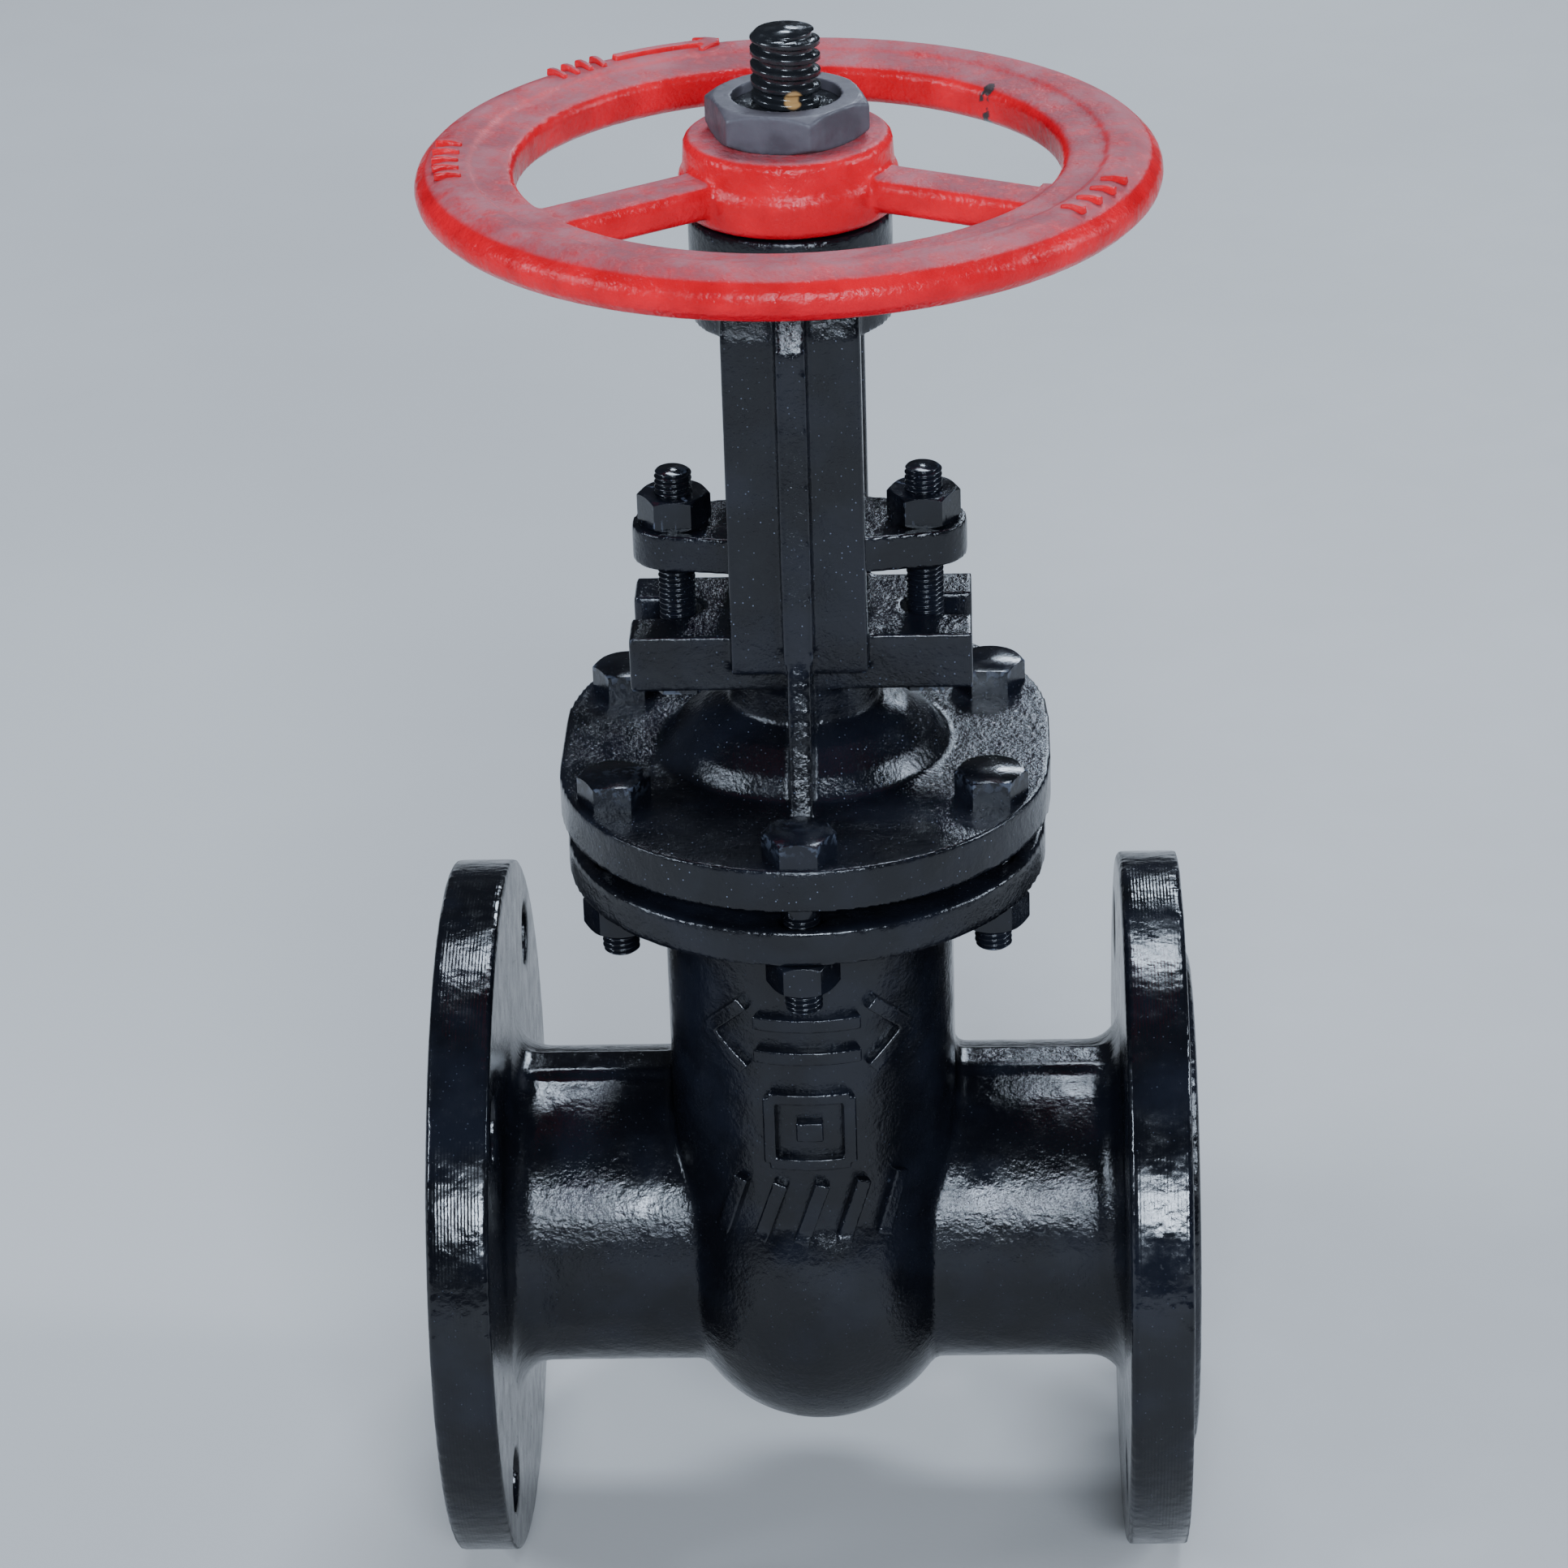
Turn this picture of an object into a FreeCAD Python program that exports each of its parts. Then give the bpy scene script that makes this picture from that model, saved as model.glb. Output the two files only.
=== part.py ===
import FreeCAD, Part
import math
import os
import re

import Sketcher

# Outside-screw-and-yoke gate valve, nominal size 80. Millimetres, +Z up.
# The origin is the centre of the inlet flange's raised face and +X runs from inlet to outlet.
# Every piece is drawn about the stem axis and the pipe axis, then placed at mid length.

DIMENSIONS = {
    # pipe flanges and body
    "face_to_face": 210.0,
    "flange_diameter": 195.0,
    "flange_rim": 17.0,
    "raised_diameter": 138.0,
    "raised_step": 3.0,
    "bolt_circle": 160.0,
    "bolt_hole": 18.0,
    "bore": 77.0,
    "pipe_neck": 89.0,
    "parting_ridge": 1.6,
    "parting_half_width": 6.0,
    "parting_root": 3.0,
    "parting_start": 31.0,
    "chamber_round": 39.0,
    "chamber_reach": 56.4,
    "bulb_reach": 61.5,
    "chamber_wall": 6.0,
    "neck_fillet": 9.0,
    # joint between body and bonnet
    "body_flange_top": 126.5,
    "body_flange_thick": 10.7,
    "body_flange_round": 64.5,
    "body_flange_reach": 77.3,
    "joint_step": 2.0,
    "joint_round": 42.0,
    "joint_reach": 62.5,
    "gasket_thick": 2.0,
    "bonnet_flange_bottom": 133.0,
    "bonnet_flange_thick": 12.0,
    "bonnet_flange_round": 66.0,
    "bonnet_flange_reach": 79.0,
    "joint_bolt_side_x": 50.0,
    "joint_bolt_side_y": 34.6,
    "joint_bolt_end_y": 69.2,
    "joint_bolt_hole": 11.0,
    "joint_bolt_end_z": 100.0,
    # seats and wedge
    "wedge_angle": 5.0,
    "seat_gap_half": 19.0,
    "seat_play": 0.03,
    "seat_ring_outer": 45.0,
    "seat_ring_inner": 39.5,
    "seat_ring_thick": 7.0,
    "seat_stand": 2.0,
    "seat_boss_radius": 49.0,
    "seat_boss_length": 16.0,
    "wedge_radius": 45.0,
    "wedge_ring_thick": 3.5,
    "wedge_ring_inner": 39.5,
    "wedge_ring_outer": 44.0,
    "wedge_boss_radius": 17.0,
    "wedge_boss_top": 61.0,
    "wedge_hollow": 30.0,
    "wedge_web": 8.0,
    "guide_rib_width": 8.0,
    "guide_rib_reach": 46.0,
    "guide_rib_bottom": -30.0,
    "guide_ear_reach": 48.4,
    "guide_ear_half_width": 9.0,
    "guide_ear_half_height": 22.0,
    "guide_play": 0.6,
    "wedge_boss_foot": 30.0,
    "wedge_half_span": 60.0,
    "cut_reach": 70.0,
    # stem
    "stem_diameter": 18.0,
    "stem_pitch": 4.0,
    "thread_depth": 2.25,
    "thread_bottom": 212.0,
    "stem_top": 345.0,
    "stem_chamfer": 1.0,
    "head_radius": 13.0,
    "head_bottom": 43.0,
    "head_thick": 7.0,
    "head_play": 0.6,
    "collar_bottom": 62.0,
    "collar_edge": 3.0,
    "collar_cone": 4.0,
    # bonnet, stuffing box and yoke
    "dome_bottom": 135.0,
    "dome_foot_radius": 39.0,
    "dome_foot_top": 145.0,
    "dome_shoulder_radius": 35.0,
    "dome_shoulder_height": 150.5,
    "dome_crown_radius": 28.0,
    "dome_crown_height": 155.5,
    "dome_top": 158.5,
    "box_radius": 20.0,
    "cavity_radius": 31.0,
    "cavity_shoulder": 142.0,
    "cavity_neck_radius": 18.0,
    "backseat_bottom": 149.5,
    "backseat_radius": 14.0,
    "backseat_cone": 3.5,
    "packing_bottom": 156.0,
    "packing_radius": 15.0,
    "packing_ring": 5.0,
    "packing_count": 4.0,
    "packing_washer": 1.5,
    "packing_gap": 0.05,
    "lug_half_length": 45.5,
    "lug_half_depth": 20.0,
    "lug_bottom": 169.0,
    "lug_top": 184.6,
    "gland_bolt_x": 33.15,
    "gland_slot": 13.0,
    "arm_half_width": 18.0,
    "arm_inner": 20.0,
    "arm_outer": 27.5,
    "arm_foot": 176.6,
    "arm_bend": 271.0,
    "arm_head_outer": 24.0,
    "arm_head_inner": 18.0,
    "arm_head_top": 285.0,
    "arm_haunch_top": 277.0,
    "arm_haunch_bottom": 261.0,
    "rib_half_width": 3.9,
    "fin_half_width": 3.0,
    "rib_top_reach": 33.0,
    "rib_foot_reach": 38.0,
    "rib_head_outer": 25.5,
    "rib_head_inner": 22.0,
    "rib_head_top": 289.0,
    "fin_foot_reach": 50.0,
    "fin_foot": 143.0,
    "fin_root_reach": 10.0,
    "fin_root_top": 183.6,
    "fin_head_top": 185.1,
    "yoke_hub_radius": 26.5,
    "yoke_hub_bottom": 269.0,
    "yoke_hub_top": 297.0,
    "sleeve_radius": 15.5,
    "sleeve_play": 0.1,
    "sleeve_bottom": 269.5,
    "sleeve_collar_radius": 20.0,
    "sleeve_collar_thick": 6.0,
    "sleeve_collar_play": 0.3,
    "sleeve_collar_seat": 275.6,
    # gland
    "gland_bottom": 200.0,
    "gland_thick": 10.0,
    "gland_end_radius": 11.4,
    "gland_middle_radius": 17.0,
    "gland_bore_radius": 12.0,
    "gland_bush_radius": 14.8,
    "gland_bush_spigot": 6.0,
    "stem_play": 0.3,
    "gland_hole_play": 0.5,
    "gland_bolt_top": 224.7,
    # small fasteners
    "bolt_radius": 5.0,
    "bolt_tip": 1.0,
    "bolt_head_flats": 17.0,
    "bolt_head_height": 7.0,
    "bolt_nut_height": 8.4,
    "gland_head_flats": 16.0,
    "gland_head_height": 6.4,
    "nut_play": 0.05,
    # handwheel
    "thrust_washer": 1.0,
    "thrust_washer_radius": 24.0,
    "wheel_radius": 96.4,
    "wheel_inner_radius": 70.5,
    "wheel_middle": 307.0,
    "wheel_half_height": 7.0,
    "wheel_hub_bottom": 298.0,
    "wheel_hub_top": 318.0,
    "wheel_hub_radius": 28.5,
    "wheel_hub_shoulder": 27.0,
    "wheel_hub_ledge": 308.0,
    "wheel_hub_ledge_rise": 1.2,
    "wheel_hub_draft": 0.4,
    "wheel_hub_foot_bevel": 2.0,
    "wheel_hub_top_bevel": 1.5,
    "spoke_half_width": 7.5,
    "spoke_bottom": 301.5,
    "spoke_top": 311.0,
    "spoke_round": 3.15,
    "spoke_root": 21.0,
    "spoke_tip": 75.5,
    "spoke_angle": 94.0,
    "drive_radius": 14.0,
    "drive_top": 325.5,
    "fixing_nut_flats": 38.0,
    "fixing_nut_height": 10.0,
    "fixing_nut_turn": -12.5,
    "key_width": 6.0,
    "key_length": 16.0,
    "key_reach": 16.5,
    "key_bed": 11.5,
    "key_bottom": 300.0,
}

doc = FreeCAD.newDocument("GateValve")
sheet = doc.addObject("Spreadsheet::Sheet", "dims")
for row, (alias, size) in enumerate(DIMENSIONS.items(), start=1):
    sheet.set("A%d" % row, alias)
    sheet.set("B%d" % row, str(size))
    sheet.setAlias("B%d" % row, alias)
doc.recompute()

X_AXIS = FreeCAD.Vector(1, 0, 0)
Z_AXIS = FreeCAD.Vector(0, 0, 1)
ORIGIN = FreeCAD.Vector(0, 0, 0)
GASKET_TOP = "(body_flange_top + joint_step + gasket_thick)"
SPOKES = 3
# One thread pitch of the stem, from crest to crest: where the groove opens and its floor lies.
GROOVE_OPENS, FLOOR_STARTS, FLOOR_ENDS, GROOVE_CLOSES = 0.10, 0.24, 0.62, 0.76
# How far down its corners a hexagon is turned off, as a share of the corners' overhang.
CORNER_BEVEL = 0.6
nodes = {}


def linked(expression):
    """The expression with each of its sheet aliases written as dims.alias."""

    def add_sheet(match):
        word = match.group(0)
        return "dims." + word if word in DIMENSIONS else word

    return re.sub(r"[a-z_]+", add_sheet, str(expression))


def number(expression):
    """The present value of an expression in the sheet's aliases."""
    return float(sheet.evalExpression(linked(expression)))


def bind(target, path, expression):
    """Tie one property of an object to the sheet."""
    target.setExpression(path, linked(expression))


def finish_node(label, piece):
    """Name a finished sub-part and place it on the stem axis at mid length."""
    piece.Label = label
    bind(piece, "Placement.Base.x", "face_to_face / 2")
    nodes[label] = piece
    return piece


# ---- Part primitives and booleans -------------------------------------------------------

def place(piece, base, axis=Z_AXIS):
    """Turn a primitive's own Z axis to the given axis and bind its base point."""
    piece.Placement = FreeCAD.Placement(ORIGIN, FreeCAD.Rotation(Z_AXIS, axis))
    for letter, expression in zip("xyz", base):
        bind(piece, "Placement.Base." + letter, expression)
    return piece


def cylinder(name, radius, height, base=("0", "0", "0"), axis=Z_AXIS):
    piece = doc.addObject("Part::Cylinder", name)
    bind(piece, "Radius", radius)
    bind(piece, "Height", height)
    return place(piece, base, axis)


def cone(name, bottom_radius, top_radius, height, base):
    piece = doc.addObject("Part::Cone", name)
    bind(piece, "Radius1", bottom_radius)
    bind(piece, "Radius2", top_radius)
    bind(piece, "Height", height)
    return place(piece, base)


def box(name, low, high):
    """A box between two corners given as expressions."""
    piece = doc.addObject("Part::Box", name)
    for side, low_end, high_end in zip(("Length", "Width", "Height"), low, high):
        bind(piece, side, "(%s) - (%s)" % (high_end, low_end))
    return place(piece, low)


def hexagon(name, flats, height, base):
    piece = doc.addObject("Part::Prism", name)
    piece.Polygon = 6
    bind(piece, "Circumradius", "(%s) / 2 / cos(30)" % flats)
    bind(piece, "Height", height)
    return place(piece, base)


def fuse(name, pieces):
    piece = doc.addObject("Part::MultiFuse", name)
    piece.Shapes = pieces
    piece.Refine = True
    return piece


def common(name, first, second):
    piece = doc.addObject("Part::Common", name)
    piece.Base = first
    piece.Tool = second
    return piece


def cut(name, base, tools):
    piece = doc.addObject("Part::Cut", name)
    piece.Base = base
    piece.Tool = tools[0] if len(tools) == 1 else fuse(name + "_tools", tools)
    return piece


def tube(name, outer, inner, height, base, axis=Z_AXIS):
    """A plain ring or sleeve."""
    solid = cylinder(name + "_outer", outer, height, base, axis)
    hole = cylinder(name + "_hole", inner, height, base, axis)
    return cut(name, solid, [hole])


# ---- sketches and PartDesign features -----------------------------------------------------

def start_body(name):
    return doc.addObject("PartDesign::Body", name)


def start_sketch(body, plane, name, lift="0"):
    """A sketch on one of the body's origin planes, lifted along the plane's normal."""
    sketch = body.newObject("Sketcher::SketchObject", name)
    support = [item for item in body.Origin.OriginFeatures if item.Role == plane][0]
    sketch.AttachmentSupport = (support, "")
    sketch.MapMode = "FlatFace"
    bind(sketch, "AttachmentOffset.Base.z", lift)
    return sketch


def pin_point(sketch, shape, position, point):
    """Fix one point of a sketch at coordinates bound to the sheet."""
    for kind, expression in zip(("DistanceX", "DistanceY"), point):
        index = sketch.addConstraint(Sketcher.Constraint(kind, shape, position, number(expression)))
        bind(sketch, "Constraints[%d]" % index, expression)


def bind_radius(sketch, shape, expression):
    index = sketch.addConstraint(Sketcher.Constraint("Radius", shape, number(expression)))
    bind(sketch, "Constraints[%d]" % index, expression)


def draw_polygon(sketch, corners):
    """A closed run of straight lines through corners given as expressions."""
    first = sketch.GeometryCount
    points = [FreeCAD.Vector(number(u), number(v), 0) for u, v in corners]
    for start, end in zip(points, points[1:] + points[:1]):
        sketch.addGeometry(Part.LineSegment(start, end))
    for step in range(len(points)):
        following = first + (step + 1) % len(points)
        sketch.addConstraint(Sketcher.Constraint("Coincident", first + step, 2, following, 1))
    for step, corner in enumerate(corners):
        pin_point(sketch, first + step, 1, corner)


def draw_circle(sketch, radius, centre=("0", "0")):
    middle = FreeCAD.Vector(number(centre[0]), number(centre[1]), 0)
    shape = sketch.addGeometry(Part.Circle(middle, Z_AXIS, number(radius)))
    bind_radius(sketch, shape, radius)
    pin_point(sketch, shape, 3, centre)


def draw_arc_end(sketch, radius, middle_height, upward):
    """A half circle over the line at middle_height, open towards the sketch's origin."""
    middle = FreeCAD.Vector(0, number(middle_height), 0)
    circle = Part.Circle(middle, Z_AXIS, number(radius))
    start = 0 if upward else math.pi
    shape = sketch.addGeometry(Part.ArcOfCircle(circle, start, start + math.pi))
    bind_radius(sketch, shape, radius)
    pin_point(sketch, shape, 3, ("0", middle_height))
    return shape


def draw_long_round(sketch, radius, reach):
    """Two half circles of the radius joined by straight sides, reach long each way in v."""
    middle = "(%s) - (%s)" % (reach, radius)
    opposite = "(%s) - (%s)" % (radius, reach)
    far = draw_arc_end(sketch, radius, middle, True)
    near = draw_arc_end(sketch, radius, opposite, False)
    join_sides(sketch, far, near, radius)


def join_sides(sketch, far, near, radius):
    """Straight sides between the ends of two half circles."""
    side = number(radius)
    far_height = sketch.Geometry[far].Center.y
    near_height = sketch.Geometry[near].Center.y
    heights = {far: far_height, near: near_height}
    for edge, start, finish in ((-side, far, near), (side, near, far)):
        top = FreeCAD.Vector(edge, heights[start], 0)
        bottom = FreeCAD.Vector(edge, heights[finish], 0)
        line = sketch.addGeometry(Part.LineSegment(top, bottom))
        sketch.addConstraint(Sketcher.Constraint("Tangent", start, 2, line, 1))
        sketch.addConstraint(Sketcher.Constraint("Tangent", line, 2, finish, 1))


def draw_arch(sketch, radius, reach):
    """Half of the long round, closed along the sketch's horizontal axis."""
    middle = "(%s) - (%s)" % (reach, radius)
    arc = draw_arc_end(sketch, radius, middle, True)
    side, height = number(radius), number(middle)
    corners = [(-side, height), (-side, 0), (side, 0), (side, height)]
    lines = []
    for start, end in zip(corners, corners[1:]):
        line = Part.LineSegment(FreeCAD.Vector(*start, 0), FreeCAD.Vector(*end, 0))
        lines.append(sketch.addGeometry(line))
    left, base, right = lines
    sketch.addConstraint(Sketcher.Constraint("Tangent", arc, 2, left, 1))
    sketch.addConstraint(Sketcher.Constraint("Tangent", right, 2, arc, 1))
    sketch.addConstraint(Sketcher.Constraint("Vertical", left))
    sketch.addConstraint(Sketcher.Constraint("Vertical", right))
    sketch.addConstraint(Sketcher.Constraint("Coincident", left, 2, base, 1))
    sketch.addConstraint(Sketcher.Constraint("Coincident", base, 2, right, 1))
    sketch.addConstraint(Sketcher.Constraint("DistanceY", base, 1, 0))
    sketch.addConstraint(Sketcher.Constraint("DistanceY", base, 2, 0))


def add_pad(body, sketch, length, both_sides=False):
    pad = body.newObject("PartDesign::Pad", sketch.Name + "_pad")
    pad.Profile = sketch
    pad.Midplane = both_sides
    bind(pad, "Length", length)
    return pad


def add_pocket(body, sketch, length, upward):
    """Cut a sketch's outline over a length, towards the plane's normal or against it."""
    pocket = body.newObject("PartDesign::Pocket", sketch.Name + "_cut")
    pocket.Profile = sketch
    pocket.Reversed = upward
    bind(pocket, "Length", length)
    return pocket


def add_turned(body, sketch, kind, axis):
    """A Revolution or Groove of the sketch about its own H_Axis or V_Axis."""
    turned = body.newObject("PartDesign::" + kind, sketch.Name + "_turned")
    turned.Profile = sketch
    turned.ReferenceAxis = (sketch, [axis])
    turned.Angle = 360
    return turned


def turned_piece(name, outline):
    """A body turned about the stem axis from an outline of (radius, height) corners."""
    body = start_body(name)
    sketch = start_sketch(body, "XZ_Plane", name + "_outline")
    draw_polygon(sketch, outline)
    add_turned(body, sketch, "Revolution", "V_Axis")
    return body


def round_edges(name, base, radius, chosen):
    """Fillet the edges of a finished shape that the chosen test accepts."""
    doc.recompute()
    size = number(radius)
    numbers = [index + 1 for index, edge in enumerate(base.Shape.Edges) if chosen(edge)]
    piece = doc.addObject("Part::Fillet", name)
    piece.Base = base
    piece.Edges = [(index, size, size) for index in numbers]
    return piece


def is_circle(edge, radius, tolerance=0.01):
    curve = edge.Curve
    return isinstance(curve, Part.Circle) and abs(curve.Radius - radius) < tolerance


# ---- body -----------------------------------------------------------------------------------

def seat_axis(side):
    """Direction from the wedge towards the seat on one side: -1 inlet, +1 outlet."""
    angle = math.radians(number("wedge_angle"))
    return FreeCAD.Vector(side * math.cos(angle), 0, -math.sin(angle))


def pipe_axis_point(side, distance):
    """A point on the pipe axis at a distance to one side of the stem, as expressions."""
    return ("%d * (%s)" % (side, distance), "0", "0")


def shifted_point(side, distance):
    """The seat plane's centre moved back along the seat's tilted axis by a distance."""
    along = "seat_gap_half + (%s) * cos(wedge_angle)" % distance
    down = "-(%s) * sin(wedge_angle)" % distance
    return ("%d * (%s)" % (side, along), "0", down)


def pipe_outline():
    """Half section of both flanges and the pipe between them: (along X, radius)."""
    face = "face_to_face / 2"
    rim_outside = "face_to_face / 2 - raised_step"
    rim_inside = "face_to_face / 2 - raised_step - flange_rim"
    left = [
        ("-(%s)" % face, "0"),
        ("-(%s)" % face, "raised_diameter / 2"),
        ("-(%s)" % rim_outside, "raised_diameter / 2"),
        ("-(%s)" % rim_outside, "flange_diameter / 2"),
        ("-(%s)" % rim_inside, "flange_diameter / 2"),
        ("-(%s)" % rim_inside, "pipe_neck / 2"),
    ]
    right = [(u[1:], v) for u, v in reversed(left)]
    return left + right


def body_shell():
    """Outer casting with its wedge chamber, before the seats and bolt holes."""
    body = start_body("body_shell")
    pipe = start_sketch(body, "XZ_Plane", "pipe")
    draw_polygon(pipe, pipe_outline())
    add_turned(body, pipe, "Revolution", "H_Axis")
    bulb = start_sketch(body, "XZ_Plane", "bulb")
    draw_arch(bulb, "chamber_round", "bulb_reach")
    add_turned(body, bulb, "Revolution", "H_Axis")
    column = start_sketch(body, "XY_Plane", "column")
    draw_long_round(column, "chamber_round", "chamber_reach")
    add_pad(body, column, "body_flange_top - body_flange_thick / 2")
    rim = start_sketch(body, "XY_Plane", "body_rim", "body_flange_top - body_flange_thick")
    draw_long_round(rim, "body_flange_round", "body_flange_reach")
    add_pad(body, rim, "body_flange_thick")
    joint = start_sketch(body, "XY_Plane", "body_joint", "body_flange_top")
    draw_long_round(joint, "joint_round", "joint_reach")
    add_pad(body, joint, "joint_step")
    inner_bulb = start_sketch(body, "XZ_Plane", "inner_bulb")
    draw_arch(inner_bulb, "chamber_round - chamber_wall", "bulb_reach - chamber_wall")
    add_turned(body, inner_bulb, "Groove", "H_Axis")
    opening = start_sketch(body, "XY_Plane", "opening")
    draw_long_round(opening, "chamber_round - chamber_wall", "chamber_reach - chamber_wall")
    add_pocket(body, opening, "body_flange_top + joint_step", True)
    return body


def pipe_bolt_tools():
    """Cutting pins for the bolt holes of both pipe flanges, at 45 degrees to the vertical."""
    tools = []
    offset = "bolt_circle / 2 * cos(45)"
    starts = ("-face_to_face / 2", "face_to_face / 2 - raised_step - flange_rim")
    for end, start in zip(("inlet", "outlet"), starts):
        for across in (-1, 1):
            for height in (-1, 1):
                base = (start, "%d * %s" % (across, offset), "%d * %s" % (height, offset))
                name = "%s_hole_%d_%d" % (end, across + 1, height + 1)
                length = "raised_step + flange_rim"
                tools.append(cylinder(name, "bolt_hole / 2", length, base, X_AXIS))
    return tools


def joint_bolt_places():
    """Centres of the six bonnet bolts: one at each end of the flange, two on each side."""
    places = [("0", "joint_bolt_end_y"), ("0", "-joint_bolt_end_y")]
    for across in ("joint_bolt_side_x", "-joint_bolt_side_x"):
        for along in ("joint_bolt_side_y", "-joint_bolt_side_y"):
            places.append((across, along))
    return places


def joint_bolt_tools(prefix, bottom, height):
    """Cutting pins for the six bonnet bolts."""
    tools = []
    for index, (across, along) in enumerate(joint_bolt_places()):
        name = "%s_%d" % (prefix, index)
        tools.append(cylinder(name, "joint_bolt_hole / 2", height, (across, along, bottom)))
    return tools


def seat_boss(side, name):
    """The thick wall that holds one seat ring, kept inside the bulb's outline."""
    base = shifted_point(side, "seat_stand")
    boss = cylinder(name + "_boss", "seat_boss_radius", "seat_boss_length", base, seat_axis(side))
    body = start_body(name + "_limit")
    outline = start_sketch(body, "XZ_Plane", name + "_limit_outline")
    draw_arch(outline, "chamber_round", "bulb_reach")
    add_turned(body, outline, "Revolution", "H_Axis")
    return common(name + "_boss_trimmed", boss, body)


def parting_ridge(side, name):
    """A flat ridge along the top of one pipe neck, where the mould halves met."""
    high_end = "face_to_face / 2 - raised_step - flange_rim / 2"
    ends = ("parting_start", high_end) if side > 0 else ("-(%s)" % high_end, "-parting_start")
    low = (ends[0], "-parting_half_width", "pipe_neck / 2 - parting_root")
    high = (ends[1], "parting_half_width", "pipe_neck / 2 + parting_ridge")
    return box(name + "_ridge", low, high)


def make_body():
    flange_inside = number("face_to_face / 2 - raised_step - flange_rim")
    neck = number("pipe_neck / 2")

    def neck_corner(edge):
        return is_circle(edge, neck) and abs(abs(edge.Curve.Center.x) - flange_inside) < 0.1

    additions = [round_edges("body_rounded", body_shell(), "neck_fillet", neck_corner)]
    tools = [cylinder("through_bore", "bore / 2", "face_to_face", ("-face_to_face / 2", "0", "0"), X_AXIS)]
    for side, name in ((-1, "inlet"), (1, "outlet")):
        additions.append(seat_boss(side, name))
        additions.append(parting_ridge(side, name))
        ring_base = shifted_point(side, "0")
        recess = cylinder(
            name + "_recess", "seat_ring_outer", "seat_ring_thick", ring_base, seat_axis(side)
        )
        tools.append(recess)
    half = "guide_rib_width / 2"
    wall = "chamber_reach - chamber_wall / 2"
    low = "guide_rib_bottom"
    high = "body_flange_top"
    additions.append(box("rib_back", ("-" + half, "guide_rib_reach", low), (half, wall, high)))
    additions.append(box("rib_front", ("-" + half, "-(%s)" % wall, low), (half, "-guide_rib_reach", high)))
    casting = fuse("body_casting", additions)
    tools += pipe_bolt_tools()
    tools += joint_bolt_tools("body_bolt", "body_flange_top - body_flange_thick", "body_flange_thick")
    finish_node("body", cut("body_drilled", casting, tools))


def make_seat_rings():
    for side, name in ((-1, "inlet_seat_ring"), (1, "outlet_seat_ring")):
        base = shifted_point(side, "0")
        radii = ("seat_ring_outer", "seat_ring_inner")
        ring = tube(name + "_tube", *radii, "seat_ring_thick", base, seat_axis(side))
        finish_node(name, ring)


# ---- wedge ----------------------------------------------------------------------------------

def wedge_slab():
    """A prism that tapers downwards, between the two faces that carry the wedge's rings."""
    body = start_body("wedge_slab")
    sketch = start_sketch(body, "XZ_Plane", "wedge_section")
    carrier = "(seat_gap_half - wedge_ring_thick / cos(wedge_angle))"
    end = "wedge_half_span"
    top = "%s + %s * tan(wedge_angle)" % (carrier, end)
    bottom = "%s - %s * tan(wedge_angle)" % (carrier, end)
    corners = [("-(%s)" % top, end), ("-(%s)" % bottom, "-" + end), (bottom, "-" + end), (top, end)]
    draw_polygon(sketch, corners)
    add_pad(body, sketch, "4 * wedge_radius", True)
    return body


def make_wedge():
    disc = cylinder("wedge_disc", "wedge_radius", "2 * cut_reach", ("-cut_reach", "0", "0"), X_AXIS)
    plate = common("wedge_plate", disc, wedge_slab())
    boss_foot = ("0", "0", "wedge_boss_foot")
    boss = cylinder("wedge_boss", "wedge_boss_radius", "wedge_boss_top - wedge_boss_foot", boss_foot)
    width = "guide_ear_half_width"
    height = "guide_ear_half_height"
    reach = "guide_ear_reach"
    ears = box("wedge_ears", ("-" + width, "-" + reach, "-" + height), (width, reach, height))
    gate = fuse("wedge_solid", [plate, boss, ears])
    slot = "(guide_rib_width / 2 + guide_play)"
    bed = "(guide_rib_reach - guide_play)"
    end = "cut_reach"
    tools = [
        box("slot_back", ("-" + slot, bed, "-" + end), (slot, end, end)),
        box("slot_front", ("-" + slot, "-" + end, "-" + end), (slot, "-" + bed, end)),
        box(
            "stem_way",
            ("-(stem_diameter / 2 + 2 * head_play)", "-(stem_diameter / 2 + head_play)", "head_bottom"),
            (end, "stem_diameter / 2 + head_play", end),
        ),
        box(
            "head_way",
            ("-(head_radius + head_play)", "-(head_radius + head_play)", "head_bottom - head_play"),
            (end, "head_radius + head_play", "head_bottom + head_thick + head_play"),
        ),
    ]
    for side, name in ((-1, "wedge_inlet_hollow"), (1, "wedge_outlet_hollow")):
        base = pipe_axis_point(side, "wedge_web / 2")
        tools.append(cylinder(name, "wedge_hollow", "cut_reach", base, side * X_AXIS))
    finish_node("wedge_gate", cut("wedge_cut", gate, tools))


def make_wedge_rings():
    for side, name in ((-1, "wedge_inlet_ring"), (1, "wedge_outlet_ring")):
        base = shifted_point(side, "-wedge_ring_thick")
        height = "wedge_ring_thick - seat_play"
        axis = seat_axis(side)
        ring = tube(name + "_tube", "wedge_ring_outer", "wedge_ring_inner", height, base, axis)
        finish_node(name, ring)


# ---- stem -----------------------------------------------------------------------------------

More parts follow.
